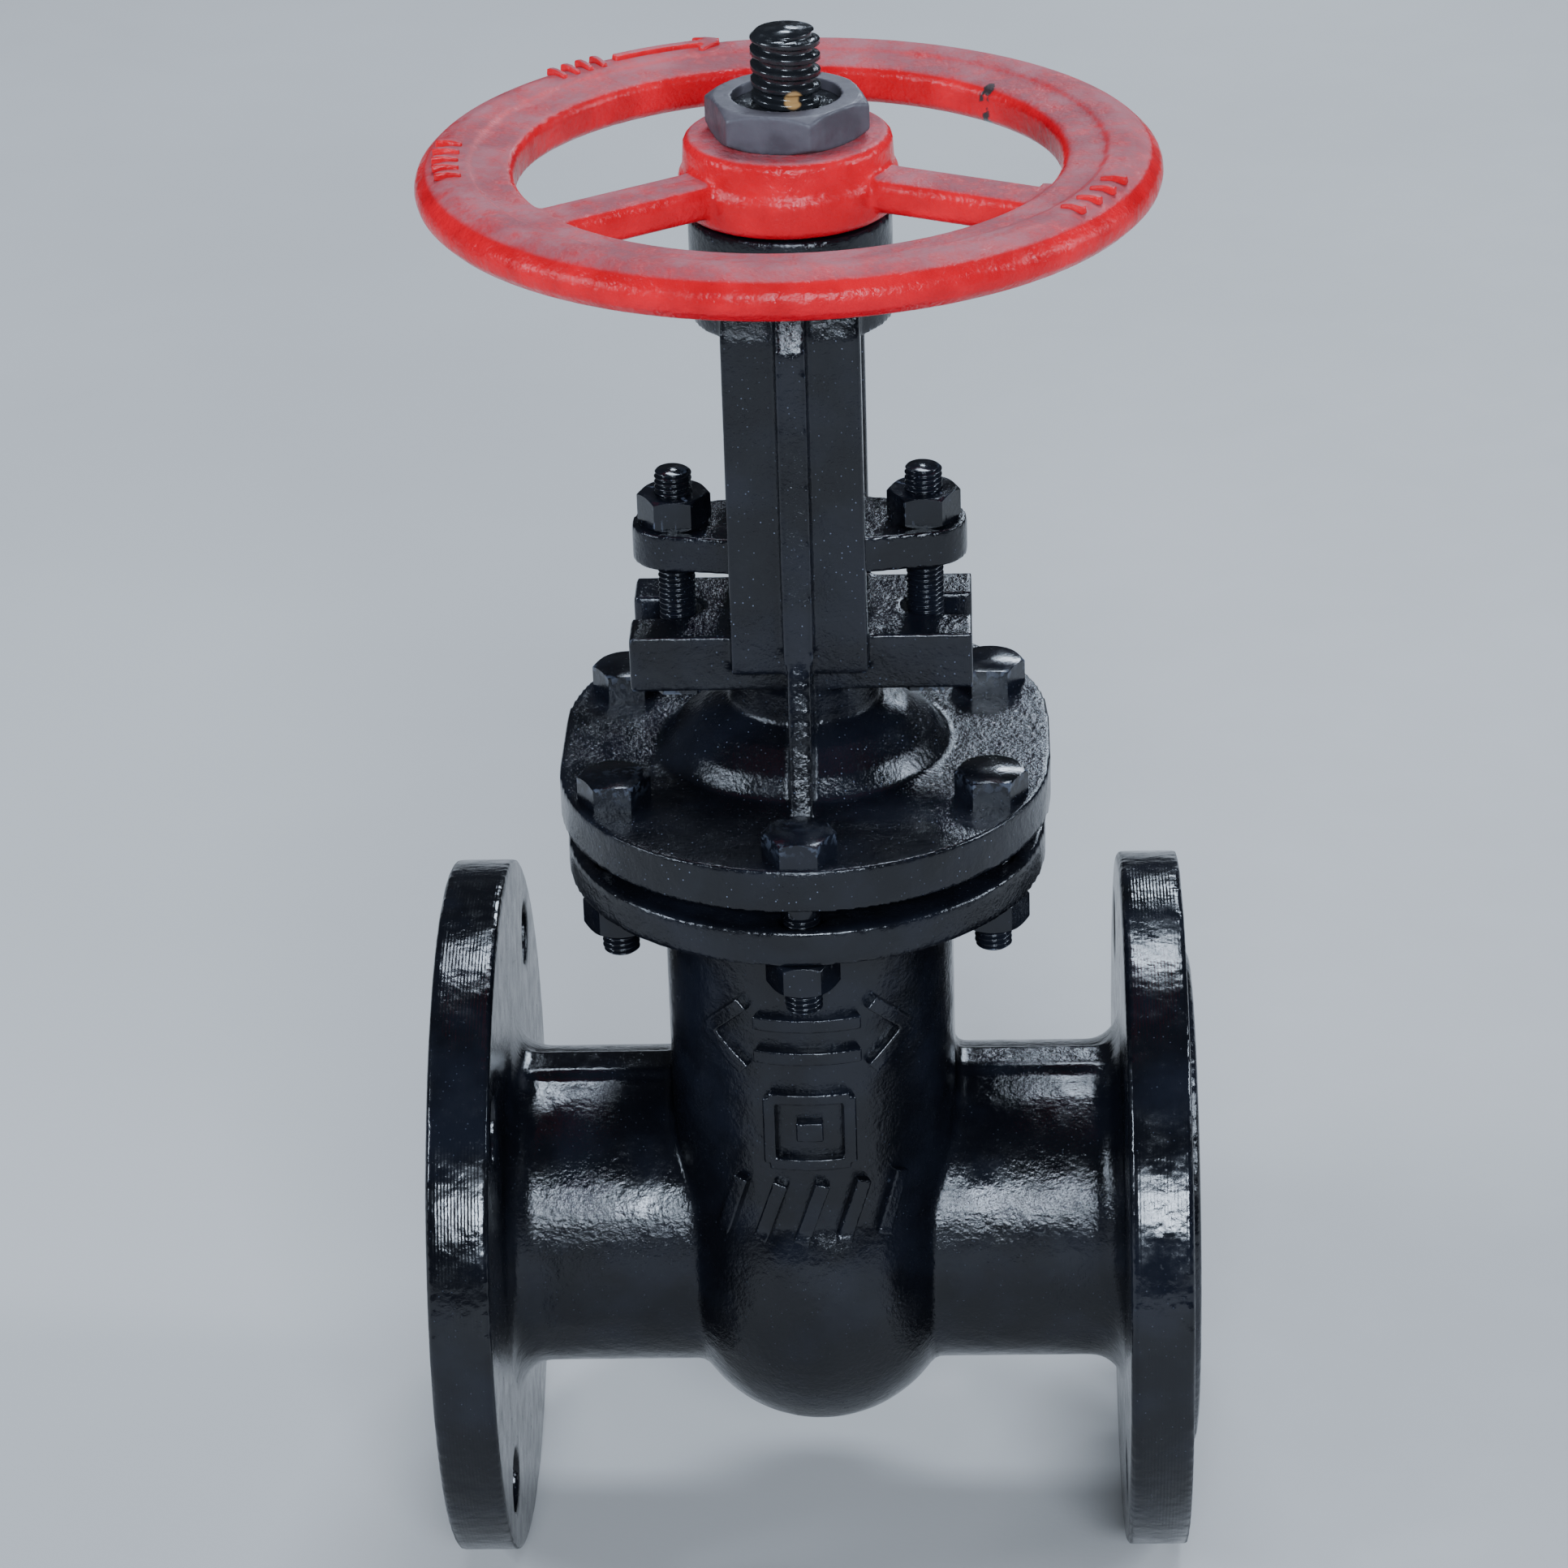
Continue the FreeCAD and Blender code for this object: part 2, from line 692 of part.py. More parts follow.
def stem_outline():
    """Half section of the stem: T-head, backseat collar, shank and trapezoidal thread ridges."""
    shank = "stem_diameter / 2"
    root = "stem_diameter / 2 - thread_depth"
    outline = [
        ("0", "head_bottom"),
        ("head_radius", "head_bottom"),
        ("head_radius", "head_bottom + head_thick"),
        (shank, "head_bottom + head_thick"),
        (shank, "collar_bottom"),
        ("head_radius", "collar_bottom"),
        ("head_radius", "collar_bottom + collar_edge"),
        (shank, "collar_bottom + collar_edge + collar_cone"),
    ]
    ridges = int((number("stem_top") - number("thread_bottom")) / number("stem_pitch"))
    for ridge in range(ridges):
        foot = "thread_bottom + %d * stem_pitch" % ridge
        outline += [
            (shank, "%s + %s * stem_pitch" % (foot, GROOVE_OPENS)),
            (root, "%s + %s * stem_pitch" % (foot, FLOOR_STARTS)),
            (root, "%s + %s * stem_pitch" % (foot, FLOOR_ENDS)),
            (shank, "%s + %s * stem_pitch" % (foot, GROOVE_CLOSES)),
        ]
    return outline + [
        (shank, "stem_top - stem_chamfer"),
        ("stem_diameter / 2 - stem_chamfer", "stem_top"),
        ("0", "stem_top"),
    ]


def make_stem():
    points = [FreeCAD.Vector(number(radius), 0, number(height)) for radius, height in stem_outline()]
    section = Part.Face(Part.makePolygon(points + points[:1]))
    stem = doc.addObject("Part::Feature", "stem_turned")
    stem.Shape = section.revolve(ORIGIN, Z_AXIS, 360)
    finish_node("stem", stem)


# ---- bonnet with stuffing box and yoke ------------------------------------------------------

def arm_outline(side):
    """Side view of one yoke arm, (along Y, height), side -1 front and +1 back."""
    inner = "%d * arm_inner" % side
    outer = "%d * arm_outer" % side
    head_inner = "%d * arm_head_inner" % side
    return [
        (inner, "arm_foot"),
        (outer, "arm_foot"),
        (outer, "arm_bend"),
        ("%d * arm_head_outer" % side, "arm_head_top"),
        (head_inner, "arm_head_top"),
        (head_inner, "arm_haunch_top"),
        (inner, "arm_haunch_bottom"),
    ]


def rib_outline(side):
    """Side view of the rib down the outside of one arm."""
    return [
        ("%d * arm_inner" % side, "lug_top"),
        ("%d * rib_foot_reach" % side, "lug_top"),
        ("%d * rib_top_reach" % side, "yoke_hub_bottom"),
        ("%d * rib_head_outer" % side, "rib_head_top"),
        ("%d * rib_head_inner" % side, "rib_head_top"),
    ]


def fin_outline(side):
    """Side view of the fin from the foot of the rib down to the bonnet flange."""
    return [
        ("%d * fin_root_reach" % side, "fin_foot"),
        ("%d * fin_foot_reach" % side, "fin_foot"),
        ("%d * rib_foot_reach" % side, "fin_head_top"),
        ("%d * fin_root_reach" % side, "fin_root_top"),
    ]


def dome_outline():
    """Half section of the dome and stuffing box: (radius, height)."""
    return [
        ("0", "dome_bottom"),
        ("dome_foot_radius", "dome_bottom"),
        ("dome_foot_radius", "dome_foot_top"),
        ("dome_shoulder_radius", "dome_shoulder_height"),
        ("dome_crown_radius", "dome_crown_height"),
        ("box_radius", "dome_top"),
        ("box_radius", "lug_top"),
        ("0", "lug_top"),
    ]


def bonnet_cavity():
    """Half section of the hollow under the dome, the backseat seat and the packing chamber."""
    return [
        ("0", GASKET_TOP),
        ("cavity_radius", GASKET_TOP),
        ("cavity_radius", "cavity_shoulder"),
        ("cavity_neck_radius", "backseat_bottom"),
        ("backseat_radius", "backseat_bottom"),
        ("backseat_radius", "packing_bottom"),
        ("packing_radius", "packing_bottom"),
        ("packing_radius", "lug_top"),
        ("0", "lug_top"),
    ]


def hub_cavity():
    """Half section of the stem nut's bore and the counterbore for its collar."""
    bore = "sleeve_radius + sleeve_play"
    collar = "sleeve_collar_radius + sleeve_collar_play"
    return [
        ("0", "yoke_hub_bottom"),
        (collar, "yoke_hub_bottom"),
        (collar, "sleeve_collar_seat"),
        (bore, "sleeve_collar_seat"),
        (bore, "yoke_hub_top"),
        ("0", "yoke_hub_top"),
    ]


def make_bonnet():
    body = start_body("bonnet_casting")
    rim = start_sketch(body, "XY_Plane", "bonnet_rim", "bonnet_flange_bottom")
    draw_long_round(rim, "bonnet_flange_round", "bonnet_flange_reach")
    add_pad(body, rim, "bonnet_flange_thick")
    joint = start_sketch(body, "XY_Plane", "bonnet_joint", GASKET_TOP)
    draw_long_round(joint, "joint_round", "joint_reach")
    add_pad(body, joint, "bonnet_flange_bottom - " + GASKET_TOP)
    dome = start_sketch(body, "XZ_Plane", "dome")
    draw_polygon(dome, dome_outline())
    add_turned(body, dome, "Revolution", "V_Axis")
    lug = start_sketch(body, "XY_Plane", "lug", "lug_bottom")
    length, depth = "lug_half_length", "lug_half_depth"
    corners = [("-" + length, "-" + depth), (length, "-" + depth), (length, depth), ("-" + length, depth)]
    draw_polygon(lug, corners)
    add_pad(body, lug, "lug_top - lug_bottom")
    hub = start_sketch(body, "XY_Plane", "yoke_hub", "yoke_hub_bottom")
    for side, name in ((-1, "front"), (1, "back")):
        for part, outline, width in (
            ("arm", arm_outline(side), "arm_half_width"),
            ("fin", fin_outline(side), "fin_half_width"),
            ("rib", rib_outline(side), "rib_half_width"),
        ):
            view = start_sketch(body, "YZ_Plane", "%s_%s" % (name, part))
            draw_polygon(view, outline)
            add_pad(body, view, "2 * " + width, True)
    draw_circle(hub, "yoke_hub_radius")
    add_pad(body, hub, "yoke_hub_top - yoke_hub_bottom")
    cavity = start_sketch(body, "XZ_Plane", "bonnet_cavity")
    draw_polygon(cavity, bonnet_cavity())
    add_turned(body, cavity, "Groove", "V_Axis")
    sleeve = start_sketch(body, "XZ_Plane", "hub_cavity")
    draw_polygon(sleeve, hub_cavity())
    add_turned(body, sleeve, "Groove", "V_Axis")
    height = "lug_top - lug_bottom"
    tools = joint_bolt_tools("bonnet_bolt", "bonnet_flange_bottom", "bonnet_flange_thick")
    for side, name in ((-1, "inlet"), (1, "outlet")):
        centre = "%d * gland_bolt_x" % side
        tools.append(cylinder(name + "_slot_end", "gland_slot / 2", height, (centre, "0", "lug_bottom")))
        ends = sorted((centre, "%d * cut_reach" % side), key=number)
        low = (ends[0], "-gland_slot / 2", "lug_bottom")
        high = (ends[1], "gland_slot / 2", "lug_top")
        tools.append(box(name + "_slot", low, high))
    finish_node("bonnet", cut("bonnet_cut", body, tools))


# ---- joint, packing and gland ---------------------------------------------------------------

def make_gasket():
    body = start_body("bonnet_gasket_sheet")
    sheet_outline = start_sketch(body, "XY_Plane", "gasket", "body_flange_top + joint_step")
    draw_long_round(sheet_outline, "joint_round", "joint_reach")
    add_pad(body, sheet_outline, "gasket_thick")
    window = start_sketch(body, "XY_Plane", "gasket_window", "body_flange_top + joint_step")
    draw_long_round(window, "chamber_round - chamber_wall", "chamber_reach - chamber_wall")
    add_pocket(body, window, "gasket_thick", True)
    finish_node("bonnet_gasket", body)


def make_packing():
    bush = turned_piece(
        "backseat",
        [
            ("stem_diameter / 2 + stem_play", "packing_bottom"),
            ("backseat_radius", "packing_bottom"),
            ("backseat_radius", "backseat_bottom"),
            ("stem_diameter / 2 + stem_play + backseat_cone", "backseat_bottom"),
            ("stem_diameter / 2 + stem_play", "backseat_bottom + backseat_cone"),
        ],
    )
    finish_node("backseat_bush", bush)
    shaft = "stem_diameter / 2 + stem_play"
    base = ("0", "0", "packing_bottom")
    washer = tube("packing_washer_ring", "packing_radius - sleeve_play", shaft, "packing_washer", base)
    finish_node("packing_washer", washer)
    rings = []
    for index in range(int(number("packing_count"))):
        base = ("0", "0", "packing_bottom + packing_washer + %d * packing_ring" % index)
        shaft = "stem_diameter / 2 + sleeve_play"
        outer = "packing_radius - sleeve_play"
        rings.append(tube("packing_%d" % index, outer, shaft, "packing_ring - packing_gap", base))
    finish_node("packing_rings", group("packing_set", rings))


def group(name, pieces):
    """One node of separate solids."""
    piece = doc.addObject("Part::Compound", name)
    piece.Links = pieces
    return piece


def make_gland():
    shaft = "stem_diameter / 2 + stem_play"
    bottom = "packing_bottom + packing_washer + packing_count * packing_ring"
    bush = turned_piece(
        "gland_bush_turned",
        [
            (shaft, bottom),
            ("gland_bush_radius", bottom),
            ("gland_bush_radius", "gland_bottom"),
            ("gland_bore_radius - sleeve_play", "gland_bottom"),
            ("gland_bore_radius - sleeve_play", "gland_bottom + gland_bush_spigot"),
            (shaft, "gland_bottom + gland_bush_spigot"),
        ],
    )
    finish_node("gland_bush", bush)
    body = start_body("gland_plate")
    plate = start_sketch(body, "XY_Plane", "gland_outline", "gland_bottom")
    draw_gland_outline(plate)
    add_pad(body, plate, "gland_thick")
    holes = [cylinder("gland_bore", "gland_bore_radius", "gland_thick", ("0", "0", "gland_bottom"))]
    for side in (-1, 1):
        base = ("%d * gland_bolt_x" % side, "0", "gland_bottom")
        radius = "bolt_radius + gland_hole_play"
        holes.append(cylinder("gland_hole_%d" % (side + 1), radius, "gland_thick", base))
    finish_node("gland_flange", cut("gland_cut", body, holes))


def draw_gland_outline(sketch):
    """Two end rounds and a wider middle round, joined by straight lines tangent to them."""
    reach = number("gland_bolt_x")
    end = number("gland_end_radius")
    middle = number("gland_middle_radius")
    lean = math.asin((middle - end) / reach)
    for side in (-1, 1):
        centre = FreeCAD.Vector(side * reach, 0, 0)
        turn = 0 if side > 0 else math.pi
        opening = math.pi / 2 - lean
        arc = Part.ArcOfCircle(Part.Circle(centre, Z_AXIS, end), turn - opening, turn + opening)
        shape = sketch.addGeometry(arc)
        bind_radius(sketch, shape, "gland_end_radius")
        pin_point(sketch, shape, 3, ("%d * gland_bolt_x" % side, "0"))
    for side in (-1, 1):
        turn = side * math.pi / 2
        circle = Part.Circle(ORIGIN, Z_AXIS, middle)
        shape = sketch.addGeometry(Part.ArcOfCircle(circle, turn - lean, turn + lean))
        bind_radius(sketch, shape, "gland_middle_radius")
        pin_point(sketch, shape, 3, ("0", "0"))
    left, right, front, back = range(4)
    for first, first_end, second, second_end in (
        (right, 2, back, 1),
        (back, 2, left, 1),
        (left, 2, front, 1),
        (front, 2, right, 1),
    ):
        start = sketch.getPoint(first, first_end)
        finish = sketch.getPoint(second, second_end)
        line = sketch.addGeometry(Part.LineSegment(start, finish))
        sketch.addConstraint(Sketcher.Constraint("Tangent", first, first_end, line, 1))
        sketch.addConstraint(Sketcher.Constraint("Tangent", line, 2, second, second_end))


# ---- fasteners ------------------------------------------------------------------------------

def chamfered_hexagon(name, flats, height, base, both_ends):
    """A hexagon whose corners are turned off at the top, or at both ends."""
    prism = hexagon(name + "_prism", flats, height, base)
    x, y, z = base
    corner = "(%s) / 2 / cos(30)" % flats
    bevel = "(%s - (%s) / 2) * %s" % (corner, flats, CORNER_BEVEL)
    top_start = "%s + %s - (%s)" % (z, height, bevel)
    edge = "(%s) / 2" % flats
    lid = cone(name + "_lid", corner, edge, bevel, (x, y, top_start))
    if both_ends:
        middle = "%s - 2 * (%s)" % (height, bevel)
        waist = cylinder(name + "_waist", corner, middle, (x, y, "%s + %s" % (z, bevel)))
        foot = cone(name + "_foot", edge, corner, bevel, (x, y, z))
        blank = fuse(name + "_blank", [foot, waist, lid])
    else:
        waist = cylinder(name + "_waist", corner, "%s - (%s)" % (height, bevel), (x, y, z))
        blank = fuse(name + "_blank", [waist, lid])
    return common(name, prism, blank)


def shank(name, bottom, top, base):
    """A plain bolt shank with a bevelled tip at the end away from the head."""
    x, y = base
    wide, narrow = "bolt_radius", "bolt_radius - bolt_tip"
    if number(top) > number(bottom):
        bar = cylinder(name + "_bar", wide, "%s - %s - bolt_tip" % (top, bottom), (x, y, bottom))
        tip = cone(name + "_tip", wide, narrow, "bolt_tip", (x, y, top + " - bolt_tip"))
    else:
        bar = cylinder(name + "_bar", wide, "%s - %s - bolt_tip" % (bottom, top), (x, y, top + " + bolt_tip"))
        tip = cone(name + "_tip", narrow, wide, "bolt_tip", (x, y, top))
    return [bar, tip]


def drilled_nut(name, flats, height, base, hole):
    blank = chamfered_hexagon(name + "_hex", flats, height, base, True)
    way = cylinder(name + "_way", hole, height, base)
    return cut(name, blank, [way])


def make_joint_fasteners():
    bolts = []
    nuts = []
    seat = "bonnet_flange_bottom + bonnet_flange_thick"
    nut_base = "body_flange_top - body_flange_thick - bolt_nut_height"
    for index, (across, along) in enumerate(joint_bolt_places()):
        name = "joint_bolt_%d" % index
        base = (across, along, seat)
        head = chamfered_hexagon(name + "_head", "bolt_head_flats", "bolt_head_height", base, False)
        parts = [head] + shank(name, seat, "joint_bolt_end_z", (across, along))
        bolts.append(fuse(name, parts))
        nut_at = (across, along, nut_base)
        hole = "bolt_radius + nut_play"
        nuts.append(drilled_nut("joint_nut_%d" % index, "bolt_head_flats", "bolt_nut_height", nut_at, hole))
    finish_node("bonnet_bolts", group("bonnet_bolt_set", bolts))
    finish_node("bonnet_nuts", group("bonnet_nut_set", nuts))


def make_gland_fasteners():
    bolts = []
    for side, place_name in ((-1, "inlet"), (1, "outlet")):
        across = "%d * gland_bolt_x" % side
        name = place_name + "_gland_bolt"
        base = (across, "0", "lug_bottom - gland_head_height")
        head = hexagon(name + "_head", "gland_head_flats", "gland_head_height", base)
        parts = [head] + shank(name, "lug_bottom", "gland_bolt_top", (across, "0"))
        bolts.append(fuse(name, parts))
        nut_at = (across, "0", "gland_bottom + gland_thick")
        hole = "bolt_radius + nut_play"
        nut = drilled_nut(place_name + "_gland_nut_solid", "bolt_head_flats", "bolt_nut_height", nut_at, hole)
        finish_node(place_name + "_gland_nut", nut)
    finish_node("gland_bolts", group("gland_bolt_set", bolts))


# ---- stem nut and handwheel -----------------------------------------------------------------

def key_box(name, play):
    """The key's space along the drive sleeve, widened by a play on its sides and outside."""
    half = "(key_width / 2 + %s)" % play
    low = ("-" + half, "key_bed", "key_bottom")
    high = (half, "key_reach + %s" % play, "key_bottom + key_length")
    return box(name, low, high)


def make_stem_nut():
    sleeve = turned_piece(
        "stem_nut_turned",
        [
            ("stem_diameter / 2 + nut_play", "sleeve_bottom"),
            ("sleeve_collar_radius", "sleeve_bottom"),
            ("sleeve_collar_radius", "sleeve_bottom + sleeve_collar_thick"),
            ("sleeve_radius", "sleeve_bottom + sleeve_collar_thick"),
            ("sleeve_radius", "wheel_hub_bottom"),
            ("drive_radius", "wheel_hub_bottom"),
            ("drive_radius", "drive_top"),
            ("stem_diameter / 2 + nut_play", "drive_top"),
        ],
    )
    finish_node("stem_nut", cut("stem_nut_cut", sleeve, [key_box("sleeve_keyway", "0")]))
    finish_node("handwheel_key", group("key", [key_box("key_bar", "0")]))
    radii = ("thrust_washer_radius", "sleeve_radius + sleeve_play")
    washer = tube("thrust_washer_ring", *radii, "thrust_washer", ("0", "0", "yoke_hub_top"))
    finish_node("thrust_washer", washer)


def rim_outline():
    """Section of the handwheel rim: flat inner band, a fine step, then a crowned outer band."""
    middle = "wheel_middle"
    half = "wheel_half_height"
    inner = "wheel_inner_radius"
    outer = "wheel_radius"
    return [
        (inner, "%s - 0.5 * %s" % (middle, half)),
        ("%s + 2.5" % inner, "%s - 0.8 * %s" % (middle, half)),
        ("%s + 10" % inner, "%s - %s" % (middle, half)),
        ("%s - 9" % outer, "%s - %s" % (middle, half)),
        ("%s - 3.4" % outer, "%s - 0.74 * %s" % (middle, half)),
        ("%s - 0.7" % outer, "%s - 0.36 * %s" % (middle, half)),
        (outer, "%s + 0.02 * %s" % (middle, half)),
        ("%s - 0.7" % outer, "%s + 0.38 * %s" % (middle, half)),
        ("%s - 3.2" % outer, "%s + 0.74 * %s" % (middle, half)),
        ("%s - 8" % outer, "%s + %s" % (middle, half)),
        ("%s - 14.2" % outer, "%s + 0.92 * %s" % (middle, half)),
        ("%s - 15" % outer, "%s + 0.78 * %s" % (middle, half)),
        ("%s + 2" % inner, "%s + 0.70 * %s" % (middle, half)),
        (inner, "%s + 0.45 * %s" % (middle, half)),
    ]


def make_handwheel():
    rim = turned_piece("handwheel_rim", rim_outline())
    hub = turned_piece(
        "handwheel_hub",
        [
            ("drive_radius + nut_play", "wheel_hub_bottom"),
            ("wheel_hub_radius - wheel_hub_foot_bevel", "wheel_hub_bottom"),
            ("wheel_hub_radius", "wheel_hub_bottom + wheel_hub_foot_bevel"),
            ("wheel_hub_radius", "wheel_hub_ledge"),
            ("wheel_hub_shoulder + wheel_hub_draft", "wheel_hub_ledge + wheel_hub_ledge_rise"),
            ("wheel_hub_shoulder", "wheel_hub_top - wheel_hub_top_bevel"),
            ("wheel_hub_shoulder - wheel_hub_top_bevel", "wheel_hub_top"),
            ("drive_radius + nut_play", "wheel_hub_top"),
        ],
    )
    spokes = []
    first = number("spoke_angle")
    for index in range(SPOKES):
        name = "spoke_%d" % index
        low = ("spoke_root", "-spoke_half_width", "spoke_bottom")
        high = ("spoke_tip", "spoke_half_width", "spoke_top")
        blade = box(name + "_bar", low, high)
        soft = round_edges(name + "_soft", blade, "spoke_round", is_long_side)
        spoke = group(name, [soft])
        turn = FreeCAD.Rotation(Z_AXIS, first + index * 360 / SPOKES)
        spoke.Placement = FreeCAD.Placement(ORIGIN, turn)
        spokes.append(spoke)
    wheel = fuse("handwheel_cast", [rim, hub] + spokes)
    finish_node("handwheel", cut("handwheel_cut", wheel, [key_box("hub_keyway", "nut_play")]))


def is_long_side(edge):
    """An edge that runs along X."""
    first, last = edge.Vertexes[0].Point, edge.Vertexes[-1].Point
    return abs(last.x - first.x) > number("wheel_inner_radius") / 2


def make_handwheel_nut():
    base = ("0", "0", "wheel_hub_top")
    hole = "drive_radius + nut_play"
    nut = drilled_nut("fixing_nut", "fixing_nut_flats", "fixing_nut_height", base, hole)
    nut.Placement = FreeCAD.Placement(ORIGIN, FreeCAD.Rotation(Z_AXIS, number("fixing_nut_turn")))
    finish_node("handwheel_nut", nut)


# ---- build, check and write -----------------------------------------------------------------

def check_document():
    """Stop if any object failed or any sub-part is empty or invalid."""
    doc.recompute()
    for item in doc.Objects:
        if "Invalid" in item.State or "Error" in item.State:
            raise RuntimeError("%s failed: %s" % (item.Name, item.State))
    for label, piece in nodes.items():
        if piece.Shape.isNull() or not piece.Shape.isValid():
            raise RuntimeError("%s has no valid shape" % label)


def write_parts():
    os.makedirs("parts", exist_ok=True)
    for label, piece in nodes.items():
        solids = piece.Shape.Solids
        shape = solids[0] if len(solids) == 1 else Part.makeCompound(solids)
        shape.exportStep(os.path.join("parts", label + ".step"))
        print("%-20s solids %d  volume %.0f mm3" % (label, len(solids), piece.Shape.Volume))


make_body()
make_seat_rings()
make_wedge()
make_wedge_rings()
make_stem()
make_bonnet()
make_gasket()
make_packing()
make_gland()
make_joint_fasteners()
make_gland_fasteners()
make_stem_nut()
make_handwheel()
make_handwheel_nut()
check_document()
write_parts()
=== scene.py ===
"""Looks for the flanged wedge gate valve: wet black paint over sand-cast iron, a dusty red
handwheel, real threads on the stem and the bolts, and raised casting marks."""
import math

import bmesh
import bpy
from mathutils import Matrix, Vector


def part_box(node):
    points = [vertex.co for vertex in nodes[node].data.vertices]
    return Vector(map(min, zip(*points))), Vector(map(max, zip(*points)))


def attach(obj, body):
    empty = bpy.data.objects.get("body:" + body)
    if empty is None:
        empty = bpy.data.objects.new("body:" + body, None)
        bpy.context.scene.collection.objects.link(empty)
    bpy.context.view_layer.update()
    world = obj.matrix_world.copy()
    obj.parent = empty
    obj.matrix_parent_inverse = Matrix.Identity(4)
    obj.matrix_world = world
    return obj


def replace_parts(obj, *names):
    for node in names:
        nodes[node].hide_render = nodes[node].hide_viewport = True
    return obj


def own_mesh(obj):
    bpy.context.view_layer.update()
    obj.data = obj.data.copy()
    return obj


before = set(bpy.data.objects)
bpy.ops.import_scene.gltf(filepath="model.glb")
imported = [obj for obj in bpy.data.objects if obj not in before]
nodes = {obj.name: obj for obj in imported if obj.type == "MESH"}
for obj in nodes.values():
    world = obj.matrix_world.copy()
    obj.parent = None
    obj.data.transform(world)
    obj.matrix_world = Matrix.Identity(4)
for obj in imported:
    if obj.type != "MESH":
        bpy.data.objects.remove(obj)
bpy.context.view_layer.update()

MM = 0.001


def middle_of(node):
    """The middle of a CAD node's box."""
    low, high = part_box(node)
    return (low + high) / 2


PIPE_AXIS_Z = middle_of("inlet_seat_ring").z
STEM_X = middle_of("stem").x
BODY_LOW, BODY_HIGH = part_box("body")
FLOOR_Z = BODY_LOW.z
FLANGE_RADIUS = PIPE_AXIS_Z - FLOOR_Z
FLANGE_THICK = 20 * MM

# The handwheel's rim. Angles are about the stem, from the outlet side.
WHEEL_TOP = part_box("handwheel")[1].z
BAND_RADIUS = 89 * MM  # the middle of the crowned band that carries the marks
BAND_DROP = 4.0 * MM  # from the wheel's top down to there
BAND_CROWN = 0.045 / MM  # the band's fall, over the square of the distance from its middle
RIM_INNER_RADIUS = 70.5 * MM
RIM_MIDDLE_Z = 307 * MM
CHIP_RADIUS = 72 * MM
CHIP_ANGLE = math.radians(44)
FLASH_LUMP_ANGLE = math.radians(-19)

# The front of the valve chamber.
CHAMBER_ROUND = 39 * MM  # radius of its round end
CHAMBER_REACH = 56.4 * MM  # from the stem's axis
BULB_REACH = 61.5 * MM  # the same for the bulb below, at the pipe axis

WELD_DISTANCE = 0.002 * MM  # points of a CAD mesh closer than this are one
SHARP_ANGLE = math.radians(32)  # edges that turn by more stay sharp


# ---- materials ------------------------------------------------------------------------------

